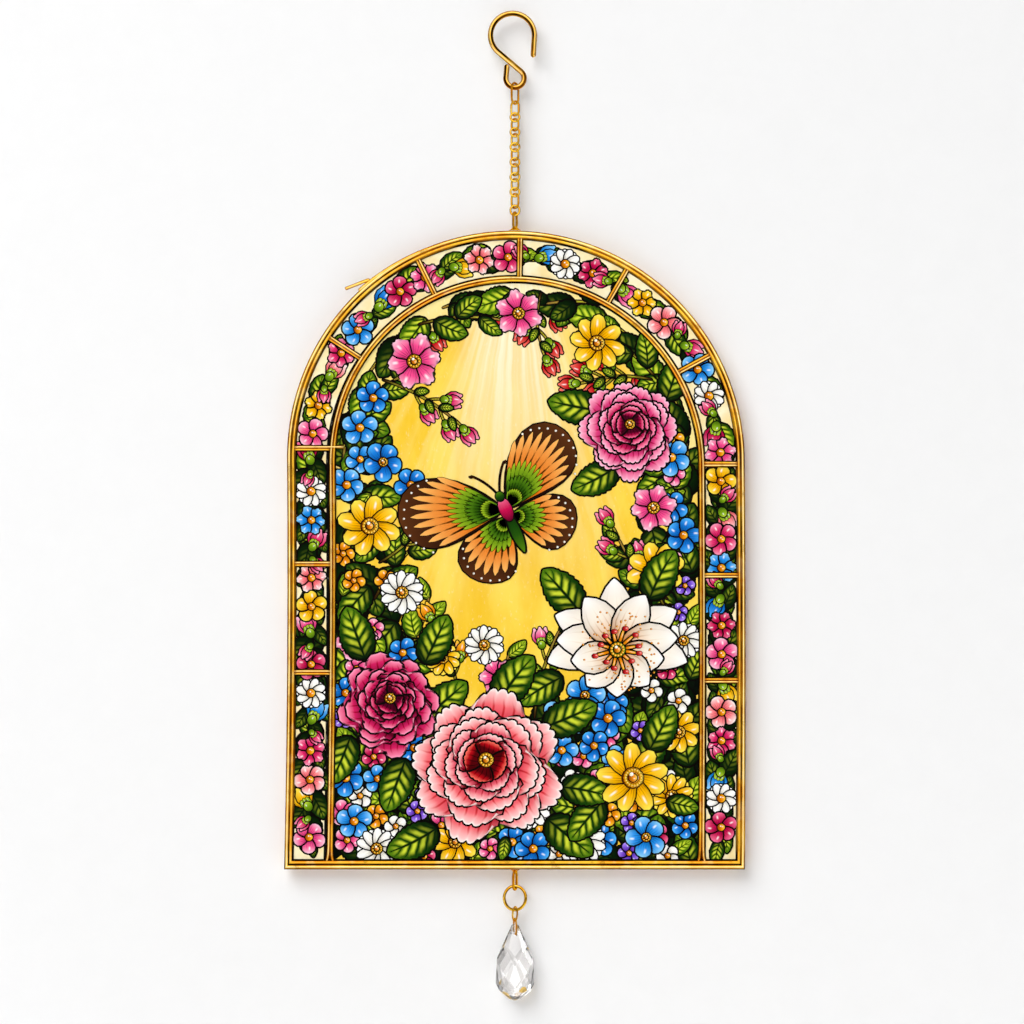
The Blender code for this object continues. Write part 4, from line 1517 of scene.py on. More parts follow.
@dataclass
class Florist:
    """Paints single flowers, buds, leaves and stems."""

    picture: Picture
    random: np.random.Generator
    leaf_sheet: Sheet = Sheet.LEAVES
    flower_sheet: Sheet = Sheet.BLOSSOMS

    def room(self, x: float, v: float, radius: float, depth: int) -> float:
        """The lowest free level in a circle, for something that takes this many levels."""
        return self.picture.pile.rest(np.array([[x, v, radius]]), depth)

    def button(self, sheet: Sheet, x: float, v: float, radius: float, level: float, palette: Palette) -> None:
        """The domed middle of a flower, with a ring of grains round a smaller dome if it is large."""
        paint = partial(self.picture.paint, sheet)
        paint(ROUND, (x - radius, v), 0.0, 2 * radius, radius, palette, level)
        if radius > 1.9:
            count = max(8, int(radius * 4))
            way = np.linspace(0, math.tau, count, endpoint=False)
            grain = radius * 0.17
            place = (x + np.cos(way) * radius * 0.76 - grain, v + np.sin(way) * radius * 0.76)
            paint(DOT, place, 0.0, 2 * grain, grain, Palette.YELLOW, level + 0.4)
            dome = radius * 0.4
            paint(ROUND, (x - dome, v), 0.0, 2 * dome, dome, Palette.BUTTON, level + 0.6)
        small, place = radius * 0.2, (x - radius * 0.3, v + radius * 0.22)
        paint(GLINT, place, 0.6, 2 * small, small, Palette.SHINE, level + 0.9)

    def star(
        self,
        x: float,
        v: float,
        radius: float,
        petals: int,
        palette: Palette,
        brush: Brush = PETAL,
        sheet: Sheet | None = None,
        middle: Palette = Palette.AMBER,
        core: float = 0.23,
    ) -> None:
        """An open flower of one whorl: equal petals at equal angles, each over its neighbour."""
        sheet = sheet or self.flower_sheet
        level = self.room(x, v, radius, 3)
        turn = self.random.uniform(0, math.tau)
        angle = turn + np.arange(petals) * math.tau / petals + self.random.normal(0, 0.05, petals)
        length = radius * self.random.uniform(0.94, 1.06, petals)
        half = min(radius * math.sin(math.pi / petals) * 0.7, radius * 0.46)
        self.picture.paint(sheet, brush, (x, v), angle, length, half, palette, level + 0.4, 0.0, 0.3)
        self.button(sheet, x, v, radius * core, level + 1.2, middle)

    def daisy(self, x: float, v: float, radius: float, palette: Palette = Palette.WHITE) -> None:
        """Two whorls of narrow rays round a large domed middle."""
        level = self.room(x, v, radius, 4)
        paint = partial(self.picture.paint, self.flower_sheet)
        count = 8 if radius < 8 else 10
        for whorl, size in enumerate((0.95, 1.0)):
            angle = (np.arange(count) + whorl * 0.5) * math.tau / count + self.random.normal(0, 0.05, count)
            half = radius * math.sin(math.pi / count) * 0.66
            paint(RAY, (x, v), angle, radius * size, half, palette, level + whorl, 0.0, 0.3)
        self.button(self.flower_sheet, x, v, radius * 0.27, level + 2, Palette.AMBER)

    def rosette(
        self, x: float, v: float, radius: float, palettes: tuple[Palette, ...], brush: Brush = FRILL
    ) -> None:
        """A full bloom: whorls of broad petals, each smaller, deeper in colour and a little higher up."""
        sizes = (1.0, 0.82, 0.66, 0.52, 0.39, 0.27)
        counts = (8, 7, 6, 6, 5, 4)
        paint = partial(self.picture.paint, Sheet.BLOOMS)
        level = self.room(x, v, radius, len(sizes) + 3)
        turn = self.random.uniform(0, math.tau)
        for whorl, (size, count) in enumerate(zip(sizes, counts)):
            angle = turn + whorl * 0.45 + np.arange(count) * math.tau / count
            angle = angle + self.random.normal(0, 0.09, count)
            length = radius * size * self.random.uniform(0.92, 1.06, count)
            half = radius * size * math.sin(math.pi / count) * self.random.uniform(1.0, 1.2, count)
            place = (x, v + radius * 0.13 * whorl / len(sizes))
            palette = palettes[min(whorl * len(palettes) // len(sizes), len(palettes) - 1)]
            paint(brush, place, angle, length, half, palette, level + whorl, 0.0, 0.45)
        level += len(sizes) + 0.5
        self.button(Sheet.BLOOMS, x, v + radius * 0.12, radius * 0.1, level, Palette.AMBER)

    def lotus(self, x: float, v: float, radius: float, palette: Palette) -> None:
        """A wide white bloom seen from the side: long pointed petals behind, shorter ones in front."""
        level = self.room(x, v, radius, 6)
        whorls = (
            ((176, 140, 92, 44, 4), 1.0, 0.24, 0.0),
            ((158, 116, 68, 24), 0.86, 0.24, 1.0),
            ((206, 238, 270, 304, 336), 0.66, 0.22, 2.0),
        )
        paint = partial(self.picture.paint, Sheet.BLOOMS)
        for degrees, size, wide, layer in whorls:
            angle = np.radians(degrees)
            bend = -0.5 * np.cos(angle) * np.sign(np.sin(angle) + 0.3)
            length, half = radius * size, radius * wide
            paint(LILY, (x, v), angle, length, half, palette, level + layer, bend, 0.4)
        way = self.random.uniform(0, math.tau, 90)
        away = radius * self.random.uniform(0.26, 0.6, 90)
        place = (x + np.cos(way) * away, v + np.sin(way) * away)
        paint(GLINT, place, 0.0, 0.9, 0.4, Palette.AMBER, level + 2.9)
        way = np.radians(np.linspace(10, 350, 12))
        reach = radius * 0.3 * self.random.uniform(0.8, 1.15, 12)
        paint(RAY, (x, v), way, reach, radius * 0.018, Palette.AMBER, level + 3.2)
        place = (x + np.cos(way) * reach - radius * 0.03, v + np.sin(way) * reach)
        paint(DOT, place, 0.0, radius * 0.09, radius * 0.036, Palette.RED, level + 3.8)
        self.button(Sheet.BLOOMS, x, v, radius * 0.11, level + 4.4, Palette.LIME)

    def bud(self, x: float, v: float, size: float, angle: float, palette: Palette) -> None:
        """A closed bud: three petals from one root, held by a round calyx with three sepals."""
        cos, sin = math.cos(angle), math.sin(angle)
        level = self.room(x + cos * size / 2, v + sin * size / 2, size * 0.5, 3)
        turns = np.array([-0.3, 0.3, 0.0])
        layers = level + np.array([0.0, 0.3, 0.8])
        paint, green = partial(self.picture.paint, self.flower_sheet), Palette.SPROUT
        paint(BUD, (x, v), angle + turns, size, size * 0.26, palette, layers)
        sepals = np.array([-0.55, 0.55, 0.0])
        paint(CALYX, (x, v), angle + sepals, size * 0.48, size * 0.14, green, level + 1.5, -sepals)
        root = x - 0.1 * size * cos, v - 0.1 * size * sin
        paint(ROUND, root, angle, size * 0.4, size * 0.18, green, level + 2.0)

    def leaf(
        self, x: float, v: float, angle: float, length: float, palette: Palette, bend: float = 0.0
    ) -> None:
        """One leaf, broad below its middle and pointed, with a saw edge if it is large."""
        brush = GRAND if length > 17 else LEAF if length > 12 else BLADE
        share = np.array([0.25, 0.6])
        places = x + np.cos(angle) * length * share, v + np.sin(angle) * length * share
        level = self.picture.pile.rest(np.stack([*places, np.full(2, length * 0.26)], -1), 1)
        self.picture.paint(self.leaf_sheet, brush, (x, v), angle, length, length * 0.27, palette, level, bend)

    def stem(self, x: float, v: float, angle: float, length: float, bend: float, width: float = 0.5) -> None:
        """One bare stem."""
        share = np.linspace(0.1, 0.9, 6)
        heading = angle + bend * share / 2
        places = x + np.cos(heading) * length * share, v + np.sin(heading) * length * share
        level = self.picture.pile.rest(np.stack([*places, np.full(6, 0.8)], -1), 1)
        self.picture.paint(self.leaf_sheet, STEM, (x, v), angle, length, width, Palette.OLIVE, level, bend)

    def on_stem(
        self, x: float, v: float, angle: float, length: float, bend: float, share: float
    ) -> tuple[tuple[float, float], float]:
        """A place on a stem, at a share of its length, and the stem's heading there."""
        chord = angle + bend * share / 2
        place = x + math.cos(chord) * length * share, v + math.sin(chord) * length * share
        return place, angle + bend * share

    def sprig(self, x: float, v: float, angle: float, length: float, bend: float, palette: Palette) -> None:
        """A stem with leaves on alternate sides, which shrink towards its tip."""
        self.stem(x, v, angle, length, bend)
        for number, share in enumerate(np.linspace(0.2, 0.98, max(3, int(length / 8)))):
            at, heading = self.on_stem(x, v, angle, length, bend, share)
            side = 1 if number % 2 else -1
            size = (1.2 - 0.5 * share) * 14.0
            self.leaf(*at, heading + side * 0.85, size, palette, -side * 0.5)

    def spray(
        self, x: float, v: float, angle: float, length: float, bend: float, palette: Palette, buds: int
    ) -> None:
        """A bare stem that forks into short stalks, each with a bud."""
        self.stem(x, v, angle, length, bend, 0.45)
        for number, share in enumerate(np.linspace(0.45, 1.0, buds)):
            at, heading = self.on_stem(x, v, angle, length, bend, share)
            side = 1 if number % 2 else -1
            fork = heading + side * (0.75 if share < 1 else 0.1)
            self.stem(*at, fork, 7.0, -side * 0.3, 0.4)
            tip = at[0] + math.cos(fork - side * 0.15) * 6.6, at[1] + math.sin(fork - side * 0.15) * 6.6
            self.bud(*tip, 8.8, fork - side * 0.3, palette)
            self.leaf(*at, heading - side * 0.8, 6.0, Palette.LEAF, side * 0.4)


@dataclass
class Garden:
    """Lays out the picture: the bed below, the columns beside it, the border and the blooms."""

    florist: Florist
    reach: float = 81.0
    lane_radius: float = 89.5
    lane_side: float = 172.0
    lane_foot: float = 6.0

    def scatter(self, count: int, low: tuple, high: tuple, keep: float, chance: Callable) -> np.ndarray:
        """Random places that keep apart.

        Args:
            count: how many tries.
            low: least x and v.
            high: greatest x and v.
            keep: the least distance between two.
            chance: the chance to keep a place, from arrays of x and v.

        Returns:
            The places, shape (n, 2).
        """
        tries = self.florist.random.uniform(low, high, (count, 2))
        tries = tries[self.florist.random.uniform(0, 1, count) < chance(tries[:, 0], tries[:, 1])]
        kept = tries[:1]
        for place in tries:
            if (np.hypot(*(kept - place).T) > keep).all():
                kept = np.concatenate([kept, place[None]])
        return kept

    def inside(self, x: np.ndarray, v: np.ndarray, margin: float = 0.0) -> np.ndarray:
        """Whether places lie within the inner arch, less a margin."""
        return np.hypot(x, np.maximum(v - CAME_CENTRE, 0)) < self.reach - margin

    def bed(self, x: np.ndarray, v: np.ndarray) -> np.ndarray:
        """1 where the picture is overgrown: under a line that climbs at both sides."""
        hedge = 66 + 135 * np.clip((abs(x + 2) - 32) / 36, 0, 1) ** 1.5
        return (v < hedge).astype(float)

    def grown(self, x: np.ndarray, v: np.ndarray) -> np.ndarray:
        """1 in the bed, a little within the inner arch."""
        return self.bed(x, v) * self.inside(x, v, 3)

    def floor(self, x: np.ndarray, v: np.ndarray) -> np.ndarray:
        """1 under a line that is flat in the middle and climbs to both sides."""
        return (v < 58 + 0.75 * np.maximum(abs(x) - 12, 0)) * self.inside(x, v)

    def gaps(self, x: np.ndarray, v: np.ndarray) -> np.ndarray:
        """The chance of a small flower: 1 low in the bed, and a quarter in the columns."""
        return self.bed(x, v) * self.inside(x, v, 5) * (0.25 + 0.75 * (v < 90))

    def undergrowth(self) -> None:
        """A close dark floor of small blades under the whole bed."""
        random = self.florist.random
        x, v = self.scatter(9000, (-82, 2), (82, 135), 3.1, self.floor).T
        angle = random.uniform(0.2, math.pi - 0.2, len(x))
        level = (np.arange(len(x)) % 7) * 0.3
        self.florist.picture.pile.rest(np.stack([x, v, np.full(len(x), 3.0)], -1), 3)
        root_x, root_v = x - np.cos(angle) * 4.5, v - np.sin(angle) * 2.5
        keep = root_v > LOW_EDGE
        place, angle, level = (root_x[keep], root_v[keep]), angle[keep], level[keep]
        self.florist.picture.paint(Sheet.LEAVES, MOSS, place, angle, 9.0, 2.7, Palette.EARTH, level)

    def greenery(self) -> None:
        """Dark leaves, then lighter ones over them."""
        flower = self.florist
        random = flower.random
        for tries, keep, palette, length in (
            (3000, 8.2, Palette.DEEP_LEAF, 18.0),
            (1800, 13.0, Palette.LEAF, 19.0),
            (1500, 17.0, Palette.LIME, 14.0),
        ):
            for x, v in self.scatter(tries, (-80, 2), (80, 258), keep, self.grown):
                angle = random.uniform(0.15, math.pi - 0.15) if v < 60 else random.uniform(0, math.tau)
                size = length * random.uniform(0.75, 1.15)
                while not self.inside(x + math.cos(angle) * size, v + math.sin(angle) * size, -1.5):
                    angle += 0.7
                if v + math.sin(angle) * size > 3:
                    flower.leaf(x, v, angle, size, palette, random.uniform(-0.6, 0.6))

    def garland(self) -> None:
        """Twigs along the arch, with large leaves, and buds that hang inwards."""
        flower = self.florist
        random = flower.random
        count, radius = 17, 75
        outs = np.radians(np.linspace(172, 8, count) + random.uniform(-2, 2, count))
        places = [(radius * math.cos(out), CAME_CENTRE + radius * math.sin(out)) for out in outs]
        sides = [1 if number % 3 else -1 for number in range(count)]
        ways = [out + side * math.pi / 2 for out, side in zip(outs, sides)]
        hangs = outs + math.pi + random.uniform(-0.5, 0.5, count)
        for number, (place, side, way) in enumerate(zip(places, sides, ways)):
            flower.stem(*place, way, 21.0, side * 0.25, 0.5)
            if number % 2:
                flower.stem(*place, hangs[number], 8.0, 0.3, 0.4)
        for number, ((x, v), side, way) in enumerate(zip(places, sides, ways)):
            palette = (Palette.LEAF, Palette.DEEP_LEAF, Palette.LIME)[number % 3]
            flower.leaf(x, v, way + side * 0.5, random.uniform(15, 20), palette, -side * 0.3)
            if number % 2:
                chord = hangs[number] + 0.15
                at = x + 7.5 * math.cos(chord), v + 7.5 * math.sin(chord)
                flower.bud(*at, 8.6, chord + 0.15, Palette.RED)
            else:
                flower.leaf(x, v, way + side * 1.1, random.uniform(11, 14), Palette.LEAF, side * 0.3)

    def lane(self, along: float) -> tuple[float, float, float]:
        """A place on the border's middle line, and its heading, by the way gone from the lower left."""
        radius, top = self.lane_radius, self.lane_foot + self.lane_side
        turn = min(max((along - self.lane_side) / radius, 0.0), math.pi)
        down = top - max(along - self.lane_side - math.pi * radius, 0.0)
        x = -radius * math.cos(turn)
        v = min(self.lane_foot + along, down) if turn in (0.0, math.pi) else top + radius * math.sin(turn)
        return x, v, math.pi / 2 - turn

    def border(self) -> None:
        """A winding stem along the border, with leaf pairs, buds and small open flowers."""
        flower = self.florist
        flower.leaf_sheet, flower.flower_sheet = Sheet.BORDER_LEAVES, Sheet.BORDER_BLOSSOMS
        random = flower.random
        top = self.lane_foot + self.lane_side
        total = 2 * self.lane_side + math.pi * self.lane_radius
        for start in np.arange(2, total - 14, 13.0):
            x, v, heading = self.lane(start)
            swing = 0.35 if int(start / 13) % 2 else -0.35
            flower.stem(x, v, heading + swing, 14.0, -2 * swing, 0.45)
        for number, along in enumerate(np.arange(5, total - 5, 5.2)):
            x, v, heading = self.lane(along)
            side = 1 if number % 2 else -1
            palette = (Palette.DEEP_LEAF, Palette.LEAF, Palette.LEAF, Palette.LIME)[number % 4]
            size = random.uniform(10.0, 13.5)
            if v < top or number % 3:
                flower.leaf(x, v, heading + side * random.uniform(0.3, 0.6), size, palette, -side * 0.5)
            if v < top:
                back = heading + math.pi - side * random.uniform(0.4, 0.9)
                flower.leaf(x, v + 2, back, min(size, v - 3), Palette.DEEP_LEAF, side * 0.4)
        names = ("PINK", "BLUE", "ROSE", "YELLOW", "MAGENTA", "SKY", "CORAL")
        kinds = [Palette[name] for name in names]
        for number, along in enumerate(np.arange(8, total - 6, 12.6)):
            x, v, heading = self.lane(along)
            palette = kinds[number * 3 % 7]
            if number % 3 == 1:
                lean = random.uniform(0.2, 0.6) * (1 if number % 2 else -1)
                flower.bud(x, v, random.uniform(9.5, 11.0), heading + lean, palette)
                x, v = x - 4.0 * math.cos(heading), v - 4.0 * math.sin(heading)
                flower.bud(x, v, random.uniform(6.5, 8.0), heading + math.pi - lean * 1.5, Palette.ROSE)
            elif number % 7 == 5:
                flower.daisy(x, v, 6.6)
            else:
                brush = HEART if number % 2 else PETAL
                flower.star(x, v, random.uniform(6.6, 7.4), 5 + number % 2, palette, brush)
        flower.leaf_sheet, flower.flower_sheet = Sheet.LEAVES, Sheet.BLOSSOMS

    def fillers(self) -> None:
        """Small flowers all over the bed and the columns."""
        flower = self.florist
        random = flower.random
        kinds = (
            (Palette.BLUE, 6.3),
            (Palette.PURPLE, 4.4),
            (Palette.PINK, 5.2),
            (Palette.SKY, 5.6),
            (Palette.WHITE, 5.0),
            (Palette.AMBER, 4.6),
            (Palette.MAGENTA, 4.8),
        )
        for number, (x, v) in enumerate(self.scatter(1600, (-78, 5), (78, 235), 9.4, self.gaps)):
            palette, radius = kinds[number % len(kinds)]
            flower.star(x, v, radius * random.uniform(0.9, 1.15), 5, palette, PETAL)

    def posies(self) -> None:
        """Middle-sized flowers in their places."""
        flower = self.florist
        for x, v, radius in ((-64, 150, 13.5), (61, 131, 12.5), (36, 230, 12), (-26, 12, 10), (71, 60, 9.5)):
            flower.star(x, v, radius, 8, Palette.YELLOW, RAY, middle=Palette.BUTTON, core=0.27)
        for x, v, radius in ((-44, 222, 13), (2, 243, 11), (60, 158, 11), (-70, 100, 10), (-8, 84, 9)):
            flower.star(x, v, radius, 6, Palette.PINK, HEART, middle=Palette.AMBER)
        blues = (
            (-58, 178, 8.5), (-68, 193, 7.5), (-46, 168, 7), (-74, 168, 7.5), (-62, 206, 7), (68, 180, 8),
            (73, 146, 7.5), (30, 76, 8.5), (40, 66, 8), (19, 66, 8), (-40, 68, 8), (57, 14, 8.5),
            (-74, 40, 8), (-70, 21, 7.5), (8, 9, 7.5), (20, 52, 7), (34, 54, 6.5),
        )
        for number, (x, v, radius) in enumerate(blues):
            flower.star(x, v, radius, 5, (Palette.BLUE, Palette.SKY)[number % 2], PETAL)
        for x, v, radius in (
            (-50, 121, 9.5), (-14, 98, 8.5), (30, 12, 9.5), (6, 27, 9.5), (73, 100, 8), (-60, 9, 9),
        ):
            flower.daisy(x, v, radius)
        for x, v, radius in ((68, 32, 9.5), (-32, 92, 7.5)):
            flower.daisy(x, v, radius, Palette.YELLOW)

    def blooms(self) -> None:
        """The large blooms, farthest first."""
        flower = self.florist
        for x, v, degrees, length in (
            (38, 200, 170, 24), (44, 176, 215, 22), (66, 205, 70, 20), (28, 112, 128, 25), (58, 118, 70, 24),
            (20, 84, 205, 22), (-66, 92, 110, 24), (-40, 90, 65, 23), (-72, 58, 250, 22), (-40, 66, 40, 24),
            (-8, 72, 62, 26), (12, 62, 20, 25), (-34, 18, 215, 24), (14, 22, 320, 25), (58, 52, 60, 22),
            (38, 30, 230, 22), (66, 30, 340, 14), (-48, 48, 250, 24), (-4, 14, 265, 10), (20, 36, 355, 22),
        ):
            flower.leaf(x, v, math.radians(degrees), length, Palette.LEAF, flower.random.uniform(-0.3, 0.3))
        flower.rosette(50, 192, 21, (Palette.PINK, Palette.PINK, Palette.ROSE, Palette.MAGENTA))
        flower.lotus(44, 96, 31, Palette.PEARL)
        flower.rosette(-55, 72, 23, (Palette.ROSE, Palette.ROSE, Palette.MAGENTA), CUP)
        flower.rosette(-13, 44, 32, (Palette.CORAL, Palette.CORAL, Palette.SALMON, Palette.RED))
        flower.star(51, 40, 15, 9, Palette.YELLOW, RAY, Sheet.BLOOMS, Palette.BUTTON, 0.3)

    def sprays(self) -> None:
        """Leafy stems and bud stalks that reach into the open ground."""
        flower = self.florist
        for sprig in (
            (-62, 118, 1.1, 44, -0.5, Palette.LEAF),
            (-72, 190, 1.2, 40, -0.8, Palette.LEAF),
            (-52, 88, 0.9, 34, 0.5, Palette.LIME),
            (66, 112, 2.0, 40, 0.5, Palette.LEAF),
            (72, 160, 1.9, 34, 0.4, Palette.LIME),
            (62, 214, 2.2, 34, 0.5, Palette.LEAF),
            (-42, 238, 0.3, 38, -0.5, Palette.LEAF),
            (44, 246, 2.9, 30, 0.4, Palette.DEEP_LEAF),
            (-4, 66, 1.8, 28, -0.5, Palette.LIME),
        ):
            flower.sprig(*sprig)
        for spray in (
            (-58, 214, -0.3, 34, -0.4, Palette.ROSE, 4),
            (-60, 134, 0.5, 30, 0.5, Palette.AMBER, 3),
            (60, 214, 2.9, 26, 0.5, Palette.RED, 4),
            (8, 66, 1.5, 40, -0.4, Palette.PINK, 4),
            (66, 118, 2.5, 34, -0.5, Palette.ROSE, 3),
            (-24, 70, 1.7, 34, 0.3, Palette.AMBER, 3),
            (12, 252, -1.9, 22, 0.6, Palette.RED, 3),
        ):
            flower.spray(*spray)

    def build(self) -> None:
        """Paints the whole garden, from the back to the front."""
        self.undergrowth()
        self.greenery()
        self.garland()
        self.border()
        self.sprays()
        self.fillers()
        self.posies()
        self.blooms()


@dataclass
class Butterfly:
    """A generic butterfly in slanting flight: two forewings, two hindwings and a slim body."""

    picture: Picture
    x: float = -4.0
    v: float = 156.0
    way: float = math.radians(114)
    span: float = 46.0

    def placed(self, ahead: float, aside: float) -> tuple[float, float]:
        """A place along and beside the body's middle line."""
        cos, sin = math.cos(self.way), math.sin(self.way)
        return self.x + ahead * cos - aside * sin, self.v + ahead * sin + aside * cos

    def wing(
        self, root: float, side: int, angle: float, length: float, width: float, panes: int, level: float
    ) -> None:
        """One wing: a dark blade, coloured panes fanned between its veins, and a row of light spots.

        Args:
            root: how far ahead of the body's middle it starts.
            side: 1 for the left wing, -1 for the right one.
            angle: its way, away from the body's heading.
            length: of the wing.
            width: half its greatest width.
            panes: how many panes it has.
            level: its layer.
        """
        place = self.placed(root, side * 0.8)
        way = self.way + side * angle
        paint = partial(self.picture.paint, Sheet.BUTTERFLY)
        paint(WING, place, way, length, width, Palette.BROWN, level, side * 0.25)
        spread = math.atan2(width, length * 0.62)
        fan = np.linspace(-spread, spread, panes) * 0.98
        reach = length * (0.94 - 0.21 * (fan / spread) ** 2)
        half = width / panes * 1.12
        tip = side * 0.12
        paint(PANE, place, way + fan, reach * 0.95, half, Palette.PANE, level + 0.5, tip)
        inner = ((0.58, Palette.LIME, 0.8), (0.4, Palette.LEAF, 1.0), (0.24, Palette.LIME, 1.2))
        for share, palette, layer in inner:
            wide = half * 0.7 * (share + 0.35)
            paint(PANE, place, way + fan, reach * share, wide, palette, level + layer)
        row = np.linspace(-spread, spread, panes + 1) * 0.92
        rim = length * (0.955 - 0.2 * (row / spread) ** 2)
        bent = way + row + tip
        spot = 0.5
        place = (place[0] + np.cos(bent) * rim - spot, place[1] + np.sin(bent) * rim)
        paint(GLINT, place, 0.0, 2 * spot, spot, Palette.WHITE, level + 1.4)

    def build(self) -> None:
        """Paints the butterfly over everything near it."""
        level = self.picture.pile.rest(np.array([[self.x, self.v, self.span]]), 9)
        wings = (
            (-2.0, -1, 2.05, 0.62, 0.26, 8),
            (-2.0, 1, 2.2, 0.66, 0.28, 8),
            (1.5, -1, 0.95, 0.92, 0.30, 10),
            (1.5, 1, 1.12, 1.0, 0.33, 10),
        )
        for number, (root, side, angle, length, width, panes) in enumerate(wings):
            size = self.span * length, self.span * width
            self.wing(root, side, angle, *size, panes, level + 1.6 * number)
        body = (
            (SPEAR, 1.0, math.pi, 20.0, 2.2, Palette.LEAF, 6.4),
            (ROUND, -4.0, 0.0, 11.0, 2.8, Palette.MAGENTA, 6.9),
            (ROUND, 5.6, 0.0, 4.0, 1.9, Palette.LEAF, 7.4),
        )
        paint = partial(self.picture.paint, Sheet.BUTTERFLY)
        for brush, ahead, turn, length, width, palette, layer in body:
            place = self.placed(ahead, 0.0)
            paint(brush, place, self.way + turn, length, width, palette, level + layer)
        head, feeler, lean = 9.0, 13.0, 0.58
        for side in (-1, 1):
            root = self.placed(head, side * 0.6)
            way, bend = self.way + side * 0.3, side * 0.5
            paint(STEM, root, way, 14.0, 0.16, Palette.BROWN, level + 7.0, bend)
            tip = self.placed(head + feeler * math.cos(lean), side * (0.6 + feeler * math.sin(lean)))
            paint(DOT, tip, self.way + side * 0.8, 1.6, 0.45, Palette.BROWN, level + 7.6)


# ---- The room, and everything in order ----


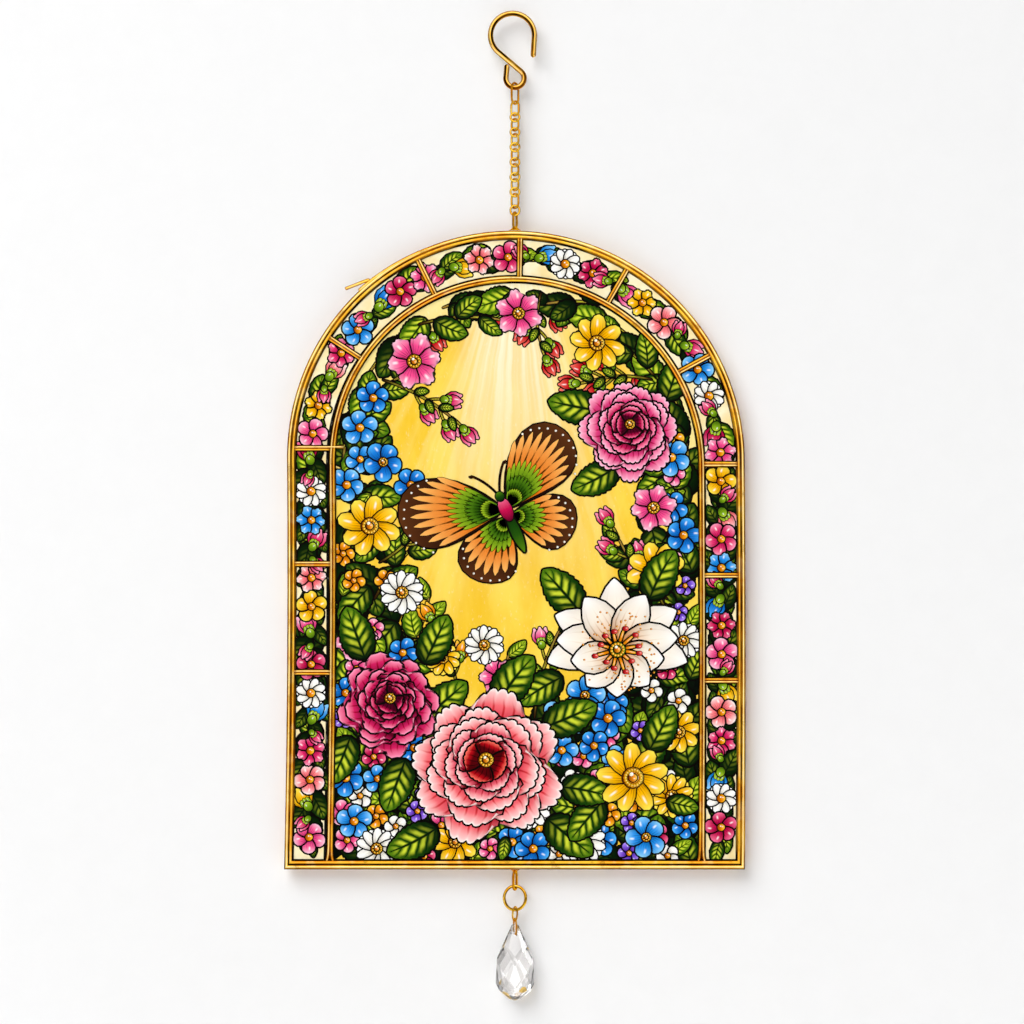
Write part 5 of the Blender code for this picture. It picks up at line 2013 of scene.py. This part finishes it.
@dataclass
class Stage:
    """The pale wall and floor, the soft lights and the camera."""

    wall_gap: float = 0.0006
    floor_drop: float = 0.06
    focal: float = 100.0
    field: float = 0.4481
    ambience: float = 0.05
    beyond: float = 0.58
    backdrop: float = 0.9
    key_power: float = 131.0
    fill_power: float = 11.0
    aim: tuple[float, float] = (-0.0013, -0.2170)

    def plane(
        self, name: str, corners: list[tuple[float, float, float]], shade: str, one_way: bool = False
    ) -> None:
        """A flat pale sheet that isn't part of the object; a one-way sheet is clear from behind.

        Glass lets no direct light through to it, so where it is seen through glass it glows evenly, a painted
        glow that stands in for that light.
        """
        surface = Surface(name)
        grain = surface.noise(surface.places(), 90.0, 4.0, 0.6)
        paper = linear(shade)
        glow = surface.mix(surface.light_path("Transmission"), "000000", paper * self.beyond)
        surface.set(Base_Color=surface.mix(grain, paper * 0.97, paper), Roughness=0.9)
        surface.set(Emission_Color=glow, Emission_Strength=1.0)
        surface.bump(grain, 0.08, 0.001)
        data = bpy.data.meshes.new(name)
        data.from_pydata(corners, [], [(0, 1, 2, 3)])
        data.materials.append(surface.material)
        sheet = linked(name, data)
        sheet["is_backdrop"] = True
        if one_way:
            facing = surface.node("ShaderNodeNewGeometry").outputs["Backfacing"]
            clear = surface.node("ShaderNodeBsdfTransparent").outputs[0]
            front = surface.shader.outputs[0]
            inputs = {0: Value(surface, facing), 1: Value(surface, front), 2: Value(surface, clear)}
            blend = surface.node("ShaderNodeMixShader", None, inputs)
            surface.tree.links.new(blend.outputs[0], surface.tree.nodes["Material Output"].inputs["Surface"])
            sheet.visible_shadow = sheet.visible_diffuse = sheet.visible_glossy = False

    def lamp(self, name: str, place: tuple, target: tuple, size: tuple[float, float], power: float) -> None:
        """A soft rectangular lamp that faces its target."""
        data = bpy.data.lights.new(name, "AREA")
        data.shape = "RECTANGLE"
        data.size, data.size_y = size
        data.energy = power
        lamp = linked(name, data)
        way = np.array(target) - np.array(place)
        lamp.location = place
        lamp.visible_camera = lamp.visible_glossy = False
        lamp.rotation_euler = (
            math.acos(-way[2] / np.linalg.norm(way)),
            0.0,
            math.atan2(way[1], way[0]) - math.pi / 2,
        )

    def air(self) -> None:
        """A pale, softly lit room; polished metal sees it dim, with one bright window before and behind."""
        world = bpy.data.worlds.new("studio")
        bpy.context.scene.world = world
        world.use_nodes = True
        sky = Tree(world.node_tree)
        way = Value(sky, sky.node("ShaderNodeTexCoord").outputs["Generated"])
        _, ahead, up = sky.split(way)
        window = (up * 0.36 - ahead * 0.93).smooth(0.7, 0.92) + ahead.smooth(0.88, 0.99)
        room = window * 1.05 + up.smooth(-0.6, 0.7) * 0.66 + 0.06
        glossy, through, seen = map(sky.light_path, ("Glossy", "Transmission", "Camera"))
        light = room * glossy + through * self.beyond + seen * self.backdrop
        light = light + (1.0 - glossy - through - seen) * self.ambience
        background = world.node_tree.nodes["Background"]
        sky.feed(background.inputs["Strength"], light)
        sky.feed(background.inputs["Color"], "FFFFFF")

    def build(self, low: np.ndarray, high: np.ndarray) -> None:
        """Sets up the room round the object's box."""
        back = float(high[1]) + self.wall_gap
        floor = float(low[2]) - self.floor_drop
        wide, top, deep = 1.6, floor + 1.4, 1.9
        wall = [(-wide, back, floor), (wide, back, floor), (wide, back, top), (-wide, back, top)]
        ground = [(-wide, -deep, floor), (wide, -deep, floor), (wide, deep, floor), (-wide, deep, floor)]
        self.plane("wall", wall, "F4F4F4", one_way=True)
        self.plane("floor", ground, "EFEFEF")
        middle = (0.0, 0.0, -0.22)
        for side, label in ((1, "front"), (-1, "back")):
            self.lamp(f"{label}_key", (-1.44 * side, -2.4 * side, 2.15), middle, (2.8, 2.8), self.key_power)
            self.lamp(f"{label}_fill", (-0.2 * side, -3.0 * side, 0.1), middle, (1.0, 1.0), self.fill_power)
        self.air()
        data = bpy.data.cameras.new("camera")
        data.lens = self.focal
        data.sensor_width = 36.0
        camera = linked("camera", data)
        camera.location = (self.aim[0], -self.field * self.focal / data.sensor_width, self.aim[1])
        camera.rotation_euler = (math.pi / 2, 0.0, 0.0)
        bpy.context.scene.camera = camera
        bpy.context.scene.view_settings.view_transform = "Standard"


def dress(node: str, material: bpy.types.Material) -> None:
    """Gives a solid that stays as it is its finish."""
    solid = bpy.data.objects[node]
    solid.data.materials.clear()
    solid.data.materials.append(material)
    LOG.info("%s: dressed in %s", node, material.name)


def main() -> None:
    """Builds the pieces in order."""
    logging.basicConfig(level=logging.INFO, format="%(name)s %(message)s")
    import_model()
    low, high = (np.array(corner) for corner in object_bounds())
    Stage().build(low, high)
    panel = Panel()
    gilt, fine = PLATE.build(), FINE_PLATE.build()
    Hanger(gilt, fine).build()
    Metalwork(gilt, panel).build()
    Fittings(fine).build()
    dress("glass_pane", OpalGround(panel).build())
    dress("crystal", ClearCrystal().build())
    picture = Picture(panel)
    Garden(Florist(picture, np.random.default_rng(SEED))).build()
    Butterfly(picture).build()
    petals = PaintOnGlass("petal_paint", Pattern.PETAL).build()
    leaves = PaintOnGlass("leaf_paint", Pattern.LEAF).build()
    wings = PaintOnGlass("wing_paint", Pattern.WING).build()
    finishes = {sheet: petals for sheet in Sheet}
    finishes.update({Sheet.LEAVES: leaves, Sheet.BORDER_LEAVES: leaves, Sheet.BUTTERFLY: wings})
    picture.build(finishes)


if __name__ == "__main__":
    main()
